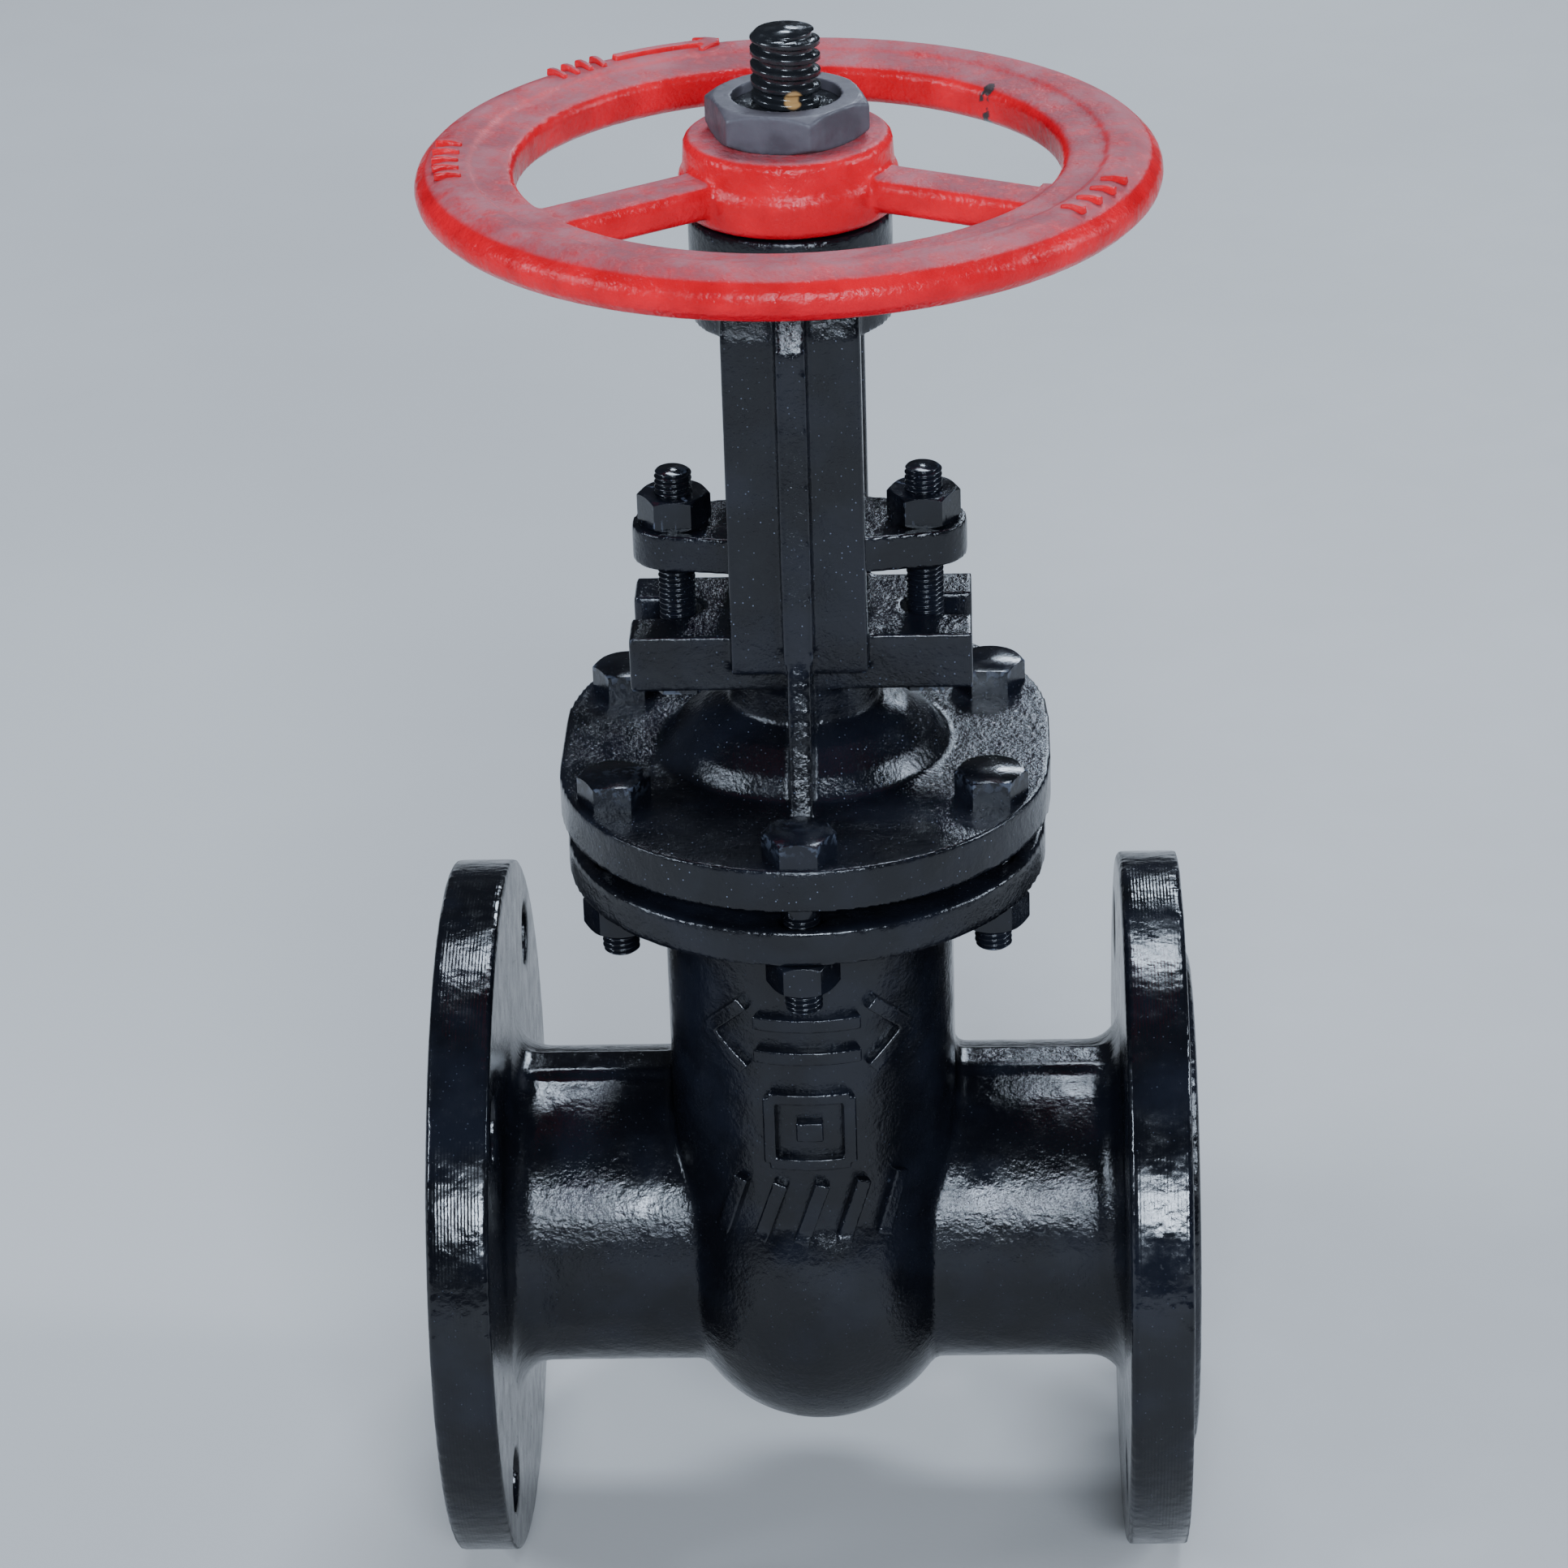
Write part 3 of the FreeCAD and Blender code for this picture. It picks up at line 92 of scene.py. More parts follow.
class Look:
    """A node material under construction. Its patterns follow the piece's own coordinates, in metres."""

    # A Mix node's colour sockets, which share their names with its other sockets.
    FIRST_COLOUR, SECOND_COLOUR, MIXED_COLOUR = 6, 7, 2
    # A wave texture of scale 1 repeats after this length.
    WAVE_PERIOD = math.pi / 10

    def __init__(self, name, colour, roughness, metallic=0.0):
        self.material = bpy.data.materials.new(name)
        self.material.use_nodes = True
        self.tree = self.material.node_tree
        self.shader = self.tree.nodes["Principled BSDF"]
        self.shader.inputs["Base Color"].default_value = (*colour, 1.0)
        self.shader.inputs["Roughness"].default_value = roughness
        self.shader.inputs["Metallic"].default_value = metallic
        self.material.diffuse_color = (*colour, 1.0)
        self.place = self.tree.nodes.new("ShaderNodeTexCoord").outputs["Object"]
        self.normal = None

    def link(self, source, target):
        self.tree.links.new(source, target)

    def put(self, socket, value):
        """Links a socket to another one's value, or sets it to a number."""
        if isinstance(value, bpy.types.NodeSocket):
            self.link(value, socket)
        else:
            socket.default_value = value

    def noise(self, size, detail=3.0, rough=0.5):
        """Soft noise whose features are about size metres across, from 0 to 1."""
        node = self.tree.nodes.new("ShaderNodeTexNoise")
        node.inputs["Scale"].default_value = 1.0 / size
        node.inputs["Detail"].default_value = detail
        node.inputs["Roughness"].default_value = rough
        self.link(self.place, node.inputs["Vector"])
        return node.outputs["Fac"]

    def grains(self, size, place=None):
        """Rounded grains about size metres across: distance to the nearest one, from 0 to about 0.7."""
        node = self.tree.nodes.new("ShaderNodeTexVoronoi")
        node.inputs["Scale"].default_value = 1.0 / size
        self.link(place or self.place, node.inputs["Vector"])
        return node.outputs["Distance"]

    def lines(self, spacing, axis, warp):
        """Parallel machining lines, spacing metres apart along one axis."""
        node = self.tree.nodes.new("ShaderNodeTexWave")
        node.wave_type = "BANDS"
        node.bands_direction = axis
        node.inputs["Scale"].default_value = self.WAVE_PERIOD / spacing
        node.inputs["Distortion"].default_value = warp
        node.inputs["Detail"].default_value = 2.0
        node.inputs["Detail Scale"].default_value = 2.0
        self.link(self.place, node.inputs["Vector"])
        return node.outputs["Fac"]

    def math(self, operation, first, second=0.0):
        node = self.tree.nodes.new("ShaderNodeMath")
        node.operation = operation
        self.put(node.inputs[0], first)
        self.put(node.inputs[1], second)
        return node.outputs[0]

    def times(self, first, second):
        return self.math("MULTIPLY", first, second)

    def reverse(self, value):
        """1 where value is 0, and 0 where it is 1."""
        return self.math("SUBTRACT", 1.0, value)

    def length(self, *offsets):
        """The length of the vector with these components."""
        squares = [self.math("POWER", offset, 2.0) for offset in offsets]
        total = squares[0]
        for square in squares[1:]:
            total = self.math("ADD", total, square)
        return self.math("SQRT", total)

    def distance(self, axes, point):
        """Distance from point, along as many axes as are given."""
        return self.length(*[self.math("SUBTRACT", axis, at) for axis, at in zip(axes, point)])

    def between(self, value, start, end, low=0.0, high=1.0):
        """value eased from low to high as it goes from start to end."""
        node = self.tree.nodes.new("ShaderNodeMapRange")
        node.interpolation_type = "SMOOTHSTEP"
        given = {"Value": value, "From Min": start, "From Max": end, "To Min": low, "To Max": high}
        for name, number in given.items():
            self.put(node.inputs[name], number)
        return node.outputs["Result"]

    def axes(self):
        """The coordinates x, y and z as three values."""
        node = self.tree.nodes.new("ShaderNodeSeparateXYZ")
        self.link(self.place, node.inputs[0])
        return node.outputs

    def stretched(self, scale):
        """Coordinates for a pattern drawn out along an axis."""
        node = self.tree.nodes.new("ShaderNodeVectorMath")
        node.operation = "MULTIPLY"
        self.link(self.place, node.inputs[0])
        node.inputs[1].default_value = scale
        return node.outputs[0]

    def facing_up(self):
        """1 on level surfaces, 0 on walls and undersides."""
        normal = self.tree.nodes.new("ShaderNodeNewGeometry").outputs["Normal"]
        split = self.tree.nodes.new("ShaderNodeSeparateXYZ")
        self.link(normal, split.inputs[0])
        return split.outputs["Z"]

    def edges(self, start, end):
        """1 along convex edges, where paint is thin or rubbed, and where the black paint takes painted
        highlights. start and end are pointiness, which is 0.5 where the surface is flat."""
        pointed = self.tree.nodes.new("ShaderNodeNewGeometry").outputs["Pointiness"]
        return self.between(pointed, start, end)

    def mix(self, amount, first, second):
        """The colour first where amount is 0, and second where it is 1."""
        node = self.tree.nodes.new("ShaderNodeMix")
        node.data_type = "RGBA"
        self.put(node.inputs["Factor"], amount)
        for index, value in ((self.FIRST_COLOUR, first), (self.SECOND_COLOUR, second)):
            linked = isinstance(value, bpy.types.NodeSocket)
            self.put(node.inputs[index], value if linked else (*value, 1.0))
        return node.outputs[self.MIXED_COLOUR]

    def colour(self, value):
        self.link(value, self.shader.inputs["Base Color"])

    def roughness(self, value):
        self.link(value, self.shader.inputs["Roughness"])

    def bump(self, height, depth):
        """Adds relief: height from 0 to 1 stands for depth metres."""
        node = self.tree.nodes.new("ShaderNodeBump")
        node.inputs["Strength"].default_value = 1.0
        node.inputs["Distance"].default_value = depth
        self.link(height, node.inputs["Height"])
        if self.normal is not None:
            self.link(self.normal, node.inputs["Normal"])
        self.normal = node.outputs["Normal"]
        self.link(self.normal, self.shader.inputs["Normal"])


def wet_black(name, lumps=0.35 * MM, sand=0.24 * MM, glint_strength=0.25, machined=False):
    """Glossy black paint over sand-cast iron, with painted glints: sparse pale specks in its colour that
    stand in for single grains catching the light, and more along its edges. lumps and sand are the heights of
    its soft lumps and of its grain, in metres, and glint_strength is how strongly the painted glints show,
    from 0 to 1. machined gives the pipe flanges their turned rims."""
    look = Look(name, (0.005, 0.0055, 0.008), 0.2)
    look.shader.inputs["Specular IOR Level"].default_value = 0.40
    haze = look.between(look.noise(22 * MM, detail=4.0), 0.40, 0.66)
    paint = look.mix(haze, (0.003, 0.0033, 0.0048), (0.006, 0.007, 0.011))
    # Painted glints: pale specks on sparse grains, standing in for sand grains that catch the light.
    glint_grains = look.between(look.grains(1.9 * MM), 0.06, 0.13, 1.0, 0.0)
    where = look.between(look.noise(16 * MM, detail=3.0), 0.42, 0.62, 0.25, 0.9)
    flecks = look.times(glint_grains, look.times(where, glint_strength))
    # Painted highlights along convex edges, standing in for light caught by their rounding.
    patches = look.between(look.noise(2 * MM, detail=3.0), 0.48, 0.60, 0.0, glint_strength)
    painted_edge_glints = look.times(look.edges(0.54, 0.62), patches)
    painted_highlights = look.math("MAXIMUM", flecks, painted_edge_glints)
    # The pale blue here is the colour of the painted glints and of the painted edge highlights.
    look.colour(look.mix(painted_highlights, paint, (0.13, 0.15, 0.20)))
    gloss = look.between(look.noise(7 * MM, detail=5.0, rough=0.6), 0.35, 0.7, 0.10, 0.24)
    matt_spots = look.between(look.noise(1.3 * MM, detail=2.0), 0.62, 0.74, 0.0, 0.14)
    look.roughness(look.math("ADD", gloss, matt_spots))
    thin_paint = look.between(look.noise(28 * MM, detail=2.0), 0.35, 0.60, 0.45, 1.0)
    if machined:
        turned = flange_rims(look)
        thin_paint = look.times(thin_paint, look.reverse(look.times(turned, 0.7)))
        look.bump(look.times(look.lines(0.9 * MM, "X", warp=0.6), turned), 0.022 * MM)
    look.bump(look.noise(6 * MM, detail=2.0), lumps)
    grain = look.noise(1.2 * MM, detail=4.0, rough=0.6)
    look.bump(look.times(grain, thin_paint), sand)
    return look.material


def flange_rims(look):
    """1 on the turned rims of the two pipe flanges, 0 elsewhere on the body."""
    x, y, z = look.axes()
    rim = look.between(look.length(y, z), FLANGE_RADIUS - 1.2 * MM, FLANGE_RADIUS - 0.6 * MM)
    away = look.math("ABSOLUTE", look.math("SUBTRACT", x, STEM_X))
    inside = (BODY_HIGH.x - BODY_LOW.x) / 2 - FLANGE_THICK
    return look.times(rim, look.between(away, inside - 1 * MM, inside))


def dusty_red():
    """Red paint on the handwheel, with pinkish dust on what faces up, clean edges, small chips and
    one deep chip."""
    look = Look("dusty_red", (0.48, 0.001, 0.008), 0.3)
    look.shader.inputs["Specular IOR Level"].default_value = 0.22
    tone = look.between(look.noise(14 * MM, detail=4.0), 0.35, 0.68)
    red = look.mix(tone, (0.46, 0.001, 0.008), (0.62, 0.001, 0.013))
    level = look.between(look.facing_up(), 0.74, 0.975)
    patches = look.between(look.noise(5 * MM, detail=7.0, rough=0.72), 0.34, 0.60, 0.45, 0.93)
    dust = look.times(look.times(level, patches), look.reverse(look.edges(0.52, 0.57)))
    cloud = look.between(look.noise(20 * MM, detail=5.0), 0.4, 0.62)
    dirt = look.mix(cloud, (0.22, 0.062, 0.072), (0.31, 0.105, 0.118))
    dusted = look.mix(dust, red, dirt)
    chips = look.between(look.noise(4 * MM, detail=6.0, rough=0.75), 0.70, 0.73)
    worn = look.mix(look.times(chips, 0.75), dusted, (0.075, 0.045, 0.042))
    look.colour(look.mix(deep_chip(look), worn, (0.035, 0.022, 0.022)))
    shine = look.between(look.noise(6 * MM, detail=4.0), 0.35, 0.65, 0.16, 0.32)
    look.roughness(look.between(dust, 0.0, 0.9, shine, 0.7))
    look.bump(look.noise(6 * MM, detail=3.0), 0.5 * MM)
    look.bump(look.noise(1.5 * MM, detail=4.0, rough=0.65), 0.28 * MM)
    return look.material


def deep_chip(look):
    """1 on the chip at the inner edge of the rim, at the back to the right."""
    chip = (STEM_X + CHIP_RADIUS * math.cos(CHIP_ANGLE), CHIP_RADIUS * math.sin(CHIP_ANGLE))
    ragged = look.between(look.noise(3 * MM), 0.3, 0.7, 0.0, 2 * MM)
    gap = look.math("ADD", look.distance(look.axes(), chip), ragged)
    return look.between(gap, 2.2 * MM, 3.0 * MM, 1.0, 0.0)


def matt_nut():
    """Black oxide on the big nut that holds the handwheel: matt, a little violet, dusty on top and
    worn along its corners."""
    look = Look("matt_nut", (0.030, 0.027, 0.033), 0.55)
    cloud = look.noise(8 * MM, detail=4.0)
    base = look.mix(look.between(cloud, 0.35, 0.65), (0.042, 0.038, 0.046), (0.066, 0.060, 0.071))
    top = look.between(look.facing_up(), 0.5, 0.95, 0.0, 0.55)
    dusted = look.mix(top, base, (0.075, 0.062, 0.070))
    look.colour(look.mix(look.edges(0.53, 0.60), dusted, (0.17, 0.155, 0.18)))
    look.roughness(look.between(look.noise(3 * MM, detail=3.0), 0.3, 0.7, 0.42, 0.62))
    look.bump(look.noise(1.1 * MM, detail=3.0), 0.06 * MM)
    look.bump(look.noise(6 * MM, detail=2.0), 0.2 * MM)
    return look.material


def turned_metal(name, colour, dark, roughness, lathe="Z"):
    """Machined metal with tool lines across the axis it was turned on, and light tarnish."""
    look = Look(name, colour, roughness, metallic=1.0)
    tarnish = look.between(look.noise(12 * MM, detail=5.0, rough=0.6), 0.38, 0.66)
    look.colour(look.mix(tarnish, colour, dark))
    look.roughness(look.between(look.noise(4 * MM, detail=4.0), 0.3, 0.7, roughness - 0.08, roughness + 0.14))
    look.bump(look.lines(0.35 * MM, lathe, warp=0.4), 0.012 * MM)
    look.bump(look.noise(0.8 * MM, detail=2.0), 0.02 * MM)
    return look.material


def bare_casting():
    """Unpainted grey iron inside the valve, where the wedge is."""
    look = Look("bare_casting", (0.055, 0.052, 0.050), 0.6, metallic=0.6)
    rust = look.between(look.noise(10 * MM, detail=6.0, rough=0.65), 0.52, 0.70)
    look.colour(look.mix(rust, (0.060, 0.057, 0.055), (0.085, 0.045, 0.028)))
    look.roughness(look.between(look.noise(3 * MM), 0.3, 0.7, 0.5, 0.75))
    look.bump(look.noise(1.1 * MM, detail=3.0), 0.12 * MM)
    look.bump(look.noise(7 * MM, detail=2.0), 0.3 * MM)
    return look.material


def braided_graphite():
    """Packing: graphite braid, its strands seen as small cells, longer along the stem."""
    look = Look("braided_graphite", (0.02, 0.02, 0.022), 0.5)
    weave = look.grains(1.6 * MM, look.stretched((1.0, 1.0, 0.6)))
    look.colour(look.mix(look.between(weave, 0.2, 0.6), (0.035, 0.035, 0.038), (0.010, 0.010, 0.011)))
    look.roughness(look.between(look.noise(2 * MM), 0.3, 0.7, 0.38, 0.6))
    look.bump(look.between(weave, 0.0, 0.7, 1.0, 0.0), 0.25 * MM)
    return look.material


def pressed_gasket():
    """Compressed fibre sheet with fine flecks."""
    look = Look("pressed_gasket", (0.03, 0.03, 0.032), 0.7)
    flecks = look.between(look.noise(0.9 * MM, detail=4.0, rough=0.7), 0.5, 0.7)
    look.colour(look.mix(flecks, (0.022, 0.022, 0.024), (0.075, 0.072, 0.070)))
    look.roughness(look.between(look.noise(2 * MM), 0.3, 0.7, 0.6, 0.8))
    look.bump(look.noise(0.7 * MM, detail=3.0), 0.05 * MM)
    return look.material


def painted_thread():
    """The stem: black paint, with steel showing on worn crests and one spot of bronze swarf just
    above the fixing nut."""
    look = Look("painted_thread", (0.012, 0.0125, 0.014), 0.2)
    worn = look.between(look.noise(5 * MM, detail=5.0, rough=0.65), 0.60, 0.72)
    crest = look.times(worn, look.edges(0.52, 0.60))
    painted = look.mix(crest, (0.009, 0.0095, 0.011), (0.085, 0.088, 0.098))
    swarf_at = (STEM_X + 2.0 * MM, -8.0 * MM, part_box("handwheel_nut")[1].z + 1.0 * MM)
    swarf = look.between(look.distance(look.axes(), swarf_at), 2.0 * MM, 2.8 * MM, 1.0, 0.0)
    look.colour(look.mix(swarf, painted, (0.36, 0.20, 0.075)))
    look.roughness(look.between(look.noise(3 * MM, detail=4.0), 0.35, 0.7, 0.12, 0.34))
    look.bump(look.noise(2.6 * MM, detail=3.0), 0.10 * MM)
    look.bump(look.noise(0.7 * MM, detail=2.0), 0.03 * MM)
    return look.material


def painted_sleeve():
    """The stem nut: bronze, with black paint run over its upper end and one spot left bare."""
    bronze = (0.42, 0.24, 0.085)
    look = Look("painted_sleeve", bronze, 0.3, metallic=1.0)
    x, y, z = look.axes()
    ragged = look.between(look.noise(6 * MM, detail=4.0), 0.3, 0.7, -1.5 * MM, 1.5 * MM)
    paint_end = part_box("stem_nut")[1].z - 12 * MM
    above = look.between(look.math("ADD", z, ragged), paint_end, paint_end + 1 * MM)
    spot_x = look.math("ABSOLUTE", look.math("SUBTRACT", x, STEM_X + 3.5 * MM))
    spot_y = look.math("ABSOLUTE", look.math("ADD", y, 11 * MM))
    spot = look.between(look.math("ADD", spot_x, spot_y), 2.6 * MM, 4.2 * MM)
    painted = look.times(above, spot)
    look.colour(look.mix(painted, bronze, (0.010, 0.0105, 0.012)))
    look.link(look.reverse(painted), look.shader.inputs["Metallic"])
    look.roughness(look.between(look.noise(3 * MM, detail=4.0), 0.3, 0.7, 0.14, 0.38))
    look.bump(look.noise(2.6 * MM, detail=4.0), 0.5 * MM)
    return look.material


def pale_floor():
    """Plain pale grey, almost even."""
    look = Look("pale_floor", (0.44, 0.425, 0.41), 0.8)
    cloud = look.between(look.noise(0.5, detail=4.0), 0.35, 0.65)
    look.colour(look.mix(cloud, (0.425, 0.41, 0.395), (0.455, 0.44, 0.425)))
    look.roughness(look.between(look.noise(0.03), 0.3, 0.7, 0.75, 0.9))
    look.bump(look.noise(2 * MM), 0.05 * MM)
    return look.material


# ---- shapes ---------------------------------------------------------------------------------

def give(node, material):
    """A CAD node takes a material."""
    mesh = nodes[node].data
    mesh.materials.clear()
    mesh.materials.append(material)


def join_points(piece):
    """Joins the doubled points that a CAD mesh has along its edges."""
    weld = piece.modifiers.new("weld", "WELD")
    weld.merge_threshold = WELD_DISTANCE


def cast_softly(piece, grain, smoothing):
    """Rounds every edge as a sand casting's are: a remesh in voxels of grain, and smoothing passes."""
    join_points(piece)
    remesh = piece.modifiers.new("cast", "REMESH")
    remesh.mode = "VOXEL"
    remesh.voxel_size = grain
    remesh.use_smooth_shade = True
    smooth = piece.modifiers.new("soften", "SMOOTH")
    smooth.factor = 0.5
    smooth.iterations = smoothing


def ease_edges(piece, width):
    """Small rounded edges on a machined piece."""
    join_points(piece)
    bevel = piece.modifiers.new("ease", "BEVEL")
    bevel.width = width
    bevel.segments = 2
    bevel.limit_method = "ANGLE"
    bevel.angle_limit = math.radians(30)
    bevel.use_clamp_overlap = True
    bevel.harden_normals = True


def mark_sharp(bm):
    """Smooth shading everywhere but across corners."""
    for face in bm.faces:
        face.smooth = True
    for edge in bm.edges:
        edge.smooth = edge.calc_face_angle(0.0) < SHARP_ANGLE


def copy_of(node):
    """An editable copy of a CAD node's mesh, with its doubled points joined."""
    bm = bmesh.new()
    bm.from_mesh(nodes[node].data)
    bmesh.ops.remove_doubles(bm, verts=bm.verts, dist=WELD_DISTANCE)
    return bm


def add_piece(name, bm, body, material):
    """Makes an object of a mesh, riding on a body."""
    mark_sharp(bm)
    mesh = bpy.data.meshes.new(name)
    bm.to_mesh(mesh)
    bm.free()
    piece = bpy.data.objects.new(name, mesh)
    bpy.context.scene.collection.objects.link(piece)
    mesh.materials.append(material)
    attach(piece, body)
    return piece


def v_thread(phase):
    """Height of a metric thread, from 0 at its root to 1 at its crest."""
    flank = 1.0 - abs(2.0 * phase - 1.0)
    return min(max(1.25 * flank - 0.1, 0.0), 1.0)


def trapezoid_thread(phase):
    """Height of the stem's thread, rounded by the paint that lies on it."""
    wave = 0.5 - 0.5 * math.cos(2.0 * math.pi * phase)
    return min(max(2.8 * wave - 0.9, 0.0), 1.0)


def add_rod(bm, x, y, low, high, radius, pitch, depth, shape, hand=1):
    """A threaded rod that stands along Z, chamfered at both ends. shape gives the thread's height over
    one pitch, and hand is 1 for a right-hand thread or -1 for a left-hand one."""
    around = 48
    per_pitch = 14
    rows = max(2, round((high - low) / pitch * per_pitch))
    rings = []
    for row in range(rows + 1):
        z = low + (high - low) * row / rows
        ring = []
        for step in range(around):
            turn = step / around
            lift = shape(((z - low) / pitch - hand * turn) % 1.0)
            reach = radius - depth * (1.0 - lift)
            tip = radius - 0.7 * depth
            reach = min(reach, tip + (high - z), tip + (z - low))
            angle = 2.0 * math.pi * turn
            ring.append(bm.verts.new((x + reach * math.cos(angle), y + reach * math.sin(angle), z)))
        rings.append(ring)
    for under, over in zip(rings, rings[1:]):
        for step in range(around):
            after = (step + 1) % around
            bm.faces.new((under[step], under[after], over[after], over[step]))
    bm.faces.new(rings[-1])
    bm.faces.new(rings[0][::-1])


def solids_of(bm):
    """The middle of each separate solid, in plan."""
    bm.verts.ensure_lookup_table()
    left = set(bm.verts)
    middles = []
    while left:
        found = [left.pop()]
        for vert in found:
            for edge in vert.link_edges:
                other = edge.other_vert(vert)
                if other in left:
                    left.remove(other)
                    found.append(other)
        xs = [v.co.x for v in found]
        ys = [v.co.y for v in found]
        middles.append(((min(xs) + max(xs)) / 2, (min(ys) + max(ys)) / 2))
    return middles


def rethread(node, name, body, slot, material, start, end, keep_above, **thread):
    """Replaces a CAD node by the same shape with a real thread between the heights start and end.
    What lies above end is kept, or else what lies below start."""
    bm = copy_of(node)
    middles = solids_of(bm)
    cut_at = end if keep_above else start
    geometry = bm.verts[:] + bm.edges[:] + bm.faces[:]
    bmesh.ops.bisect_plane(
        bm, geom=geometry, plane_co=(0, 0, cut_at), plane_no=(0, 0, 1),
        clear_inner=keep_above, clear_outer=not keep_above,
    )
    for x, y in middles:
        add_rod(bm, x, y, start, end, **thread)
    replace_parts(add_piece(name, bm, body, material), node)


def press_packing():
    """The packing rings as a piece of their own, in graphite braid."""
    bm = copy_of("packing_rings")
    piece = add_piece("pressed_packing", bm, "valve", braided_graphite())
    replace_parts(piece, "packing_rings")
    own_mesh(piece)


def ribbon(bm, path, width, height, surface):
    """A raised stroke: a bar with sloping sides that follows path, laid on surface(across, along, lift).
    Its section is given in widths across and heights up, and starts below the surface."""
    sections = [(-0.5, -0.6), (-0.40, 1.0), (0.40, 1.0), (0.5, -0.6)]
    rings = []
    for index, (across, along) in enumerate(path):
        before = path[max(index - 1, 0)]
        after = path[min(index + 1, len(path) - 1)]
        heading = Vector((after[0] - before[0], after[1] - before[1])).normalized()
        side = Vector((heading.y, -heading.x))
        ring = []
        for offset, lift in sections:
            a = across + side.x * offset * width
            b = along + side.y * offset * width
            ring.append(bm.verts.new(surface(a, b, lift * height)))
        rings.append(ring)
    corners = len(sections)
    for first, second in zip(rings, rings[1:]):
        for k in range(corners):
            after = (k + 1) % corners
            bm.faces.new((first[k], first[after], second[after], second[k]))
    bm.faces.new(rings[0][::-1])
    bm.faces.new(rings[-1])


def straight(start, end, steps=12):
    """A straight path from start to end."""
    return [
        (start[0] + (end[0] - start[0]) * k / steps, start[1] + (end[1] - start[1]) * k / steps)
        for k in range(steps + 1)
    ]


def on_chamber(across, up, lift):
    """A point lift above the front of the valve chamber, across from its middle and up from the pipe axis."""
    angle = across / CHAMBER_ROUND
    beside = CHAMBER_ROUND * math.sin(angle)
    ahead = CHAMBER_ROUND * math.cos(angle)
    column = CHAMBER_REACH - CHAMBER_ROUND + ahead
    bulb = math.sqrt(max((BULB_REACH - CHAMBER_ROUND + ahead) ** 2 - up ** 2, 0.0))
    rise = lift + max(bulb - column, 0.0) * math.cos(angle)
    x = STEM_X + beside + rise * math.sin(angle)
    return Vector((x, -column - rise * math.cos(angle), PIPE_AXIS_Z + up))


def around_stem(radius, turn, z):
    """A point at a radius and an angle about the stem's axis."""
    return Vector((STEM_X + radius * math.cos(turn), radius * math.sin(turn), z))


def on_rim(along, out, lift):
    """A point lift above the handwheel's crowned band, along it from the outlet side and out from its
    middle."""
    z = WHEEL_TOP - BAND_DROP + lift - BAND_CROWN * out * out
    return around_stem(BAND_RADIUS + out, along / BAND_RADIUS, z)


def on_inner_wall(across, up, lift):
    """A point lift inwards of the rim's inner wall, near the spoke at the right."""
    turn = FLASH_LUMP_ANGLE + across / RIM_INNER_RADIUS
    return around_stem(RIM_INNER_RADIUS - lift, turn, RIM_MIDDLE_Z + up)


def finish_marks(bm, name, body, material, grain):
    """Joins overlapping strokes into one soft-edged piece."""
    bmesh.ops.recalc_face_normals(bm, faces=bm.faces)
    cast_softly(add_piece(name, bm, body, material), grain, smoothing=2)


def make_body_marks(material):
    """Plain raised marks where a foundry puts its lettering: a flow arrow, a framed block and a hatch."""
    stroke = 4.8 * MM
    height = 2.6 * MM
    grain = 0.45 * MM
    arrow = bmesh.new()
    for line_z in (78.5 * MM, 88.5 * MM):
        ribbon(arrow, straight((-14 * MM, line_z), (14 * MM, line_z)), stroke, height, on_chamber)
    for side in (-1, 1):
        tip = (side * 28 * MM, 83.5 * MM)
        for edge_z in (73.5 * MM, 93.5 * MM):
            ribbon(arrow, straight(tip, (side * 17 * MM, edge_z)), stroke, height, on_chamber)
    finish_marks(arrow, "flow_arrow", "valve", material, grain)
    block = bmesh.new()
    half, low, high = 10.5 * MM, 46 * MM, 66 * MM
    for start, end in (
        ((-half, low), (-half, high)), ((half, low), (half, high)),
        ((-half, low), (half, low)), ((-half, high), (half, high)),
    ):
        ribbon(block, straight(start, end), stroke * 0.85, height, on_chamber)
    middle = (low + high) / 2
    ribbon(block, straight((-3.5 * MM, middle), (3.5 * MM, middle)), 7 * MM, height, on_chamber)
    finish_marks(block, "framed_block", "valve", material, grain)
    hatch = bmesh.new()
    for index in range(5):
        x = (index - 2) * 11 * MM
        slanted = straight((x - 3 * MM, 21.5 * MM), (x + 3 * MM, 39.5 * MM))
        ribbon(hatch, slanted, stroke, height, on_chamber)
    finish_marks(hatch, "hatch_row", "valve", material, grain)


def band_at(degrees):
    """How far along the rim's band an angle is, in metres."""
    return math.radians(degrees) * BAND_RADIUS


def make_wheel_marks(material):
    """Raised marks on the rim for the turning sense, an arrow and rows of short bars, and a lump of
    flash on the rim's inner wall."""
    bm = bmesh.new()
    height = 1.3 * MM
    bar = 2.0 * MM
    tip = (band_at(104), -1.5 * MM)
    shaft = straight(tip, (band_at(124), -1.5 * MM), steps=24)
    ribbon(bm, shaft, bar * 1.3, height, on_rim)
    for out in (-5 * MM, 2.5 * MM):
        ribbon(bm, straight(tip, (band_at(108), out)), bar, height, on_rim)
    rows = ((127, 130, 133, 136), (176, 180, 184, 188, 192), (-20, -25, -30, -35))
    for angle in [angle for row in rows for angle in row]:
        across_band = straight((band_at(angle), -4.5 * MM), (band_at(angle), 2.5 * MM), steps=5)
        ribbon(bm, across_band, bar, height, on_rim)
    ribbon(bm, straight((0, -3.4 * MM), (0, 2.8 * MM)), 6.5 * MM, 2.6 * MM, on_inner_wall)
    finish_marks(bm, "turning_marks", "handwheel_drive", material, 0.4 * MM)


# ---- the valve ------------------------------------------------------------------------------

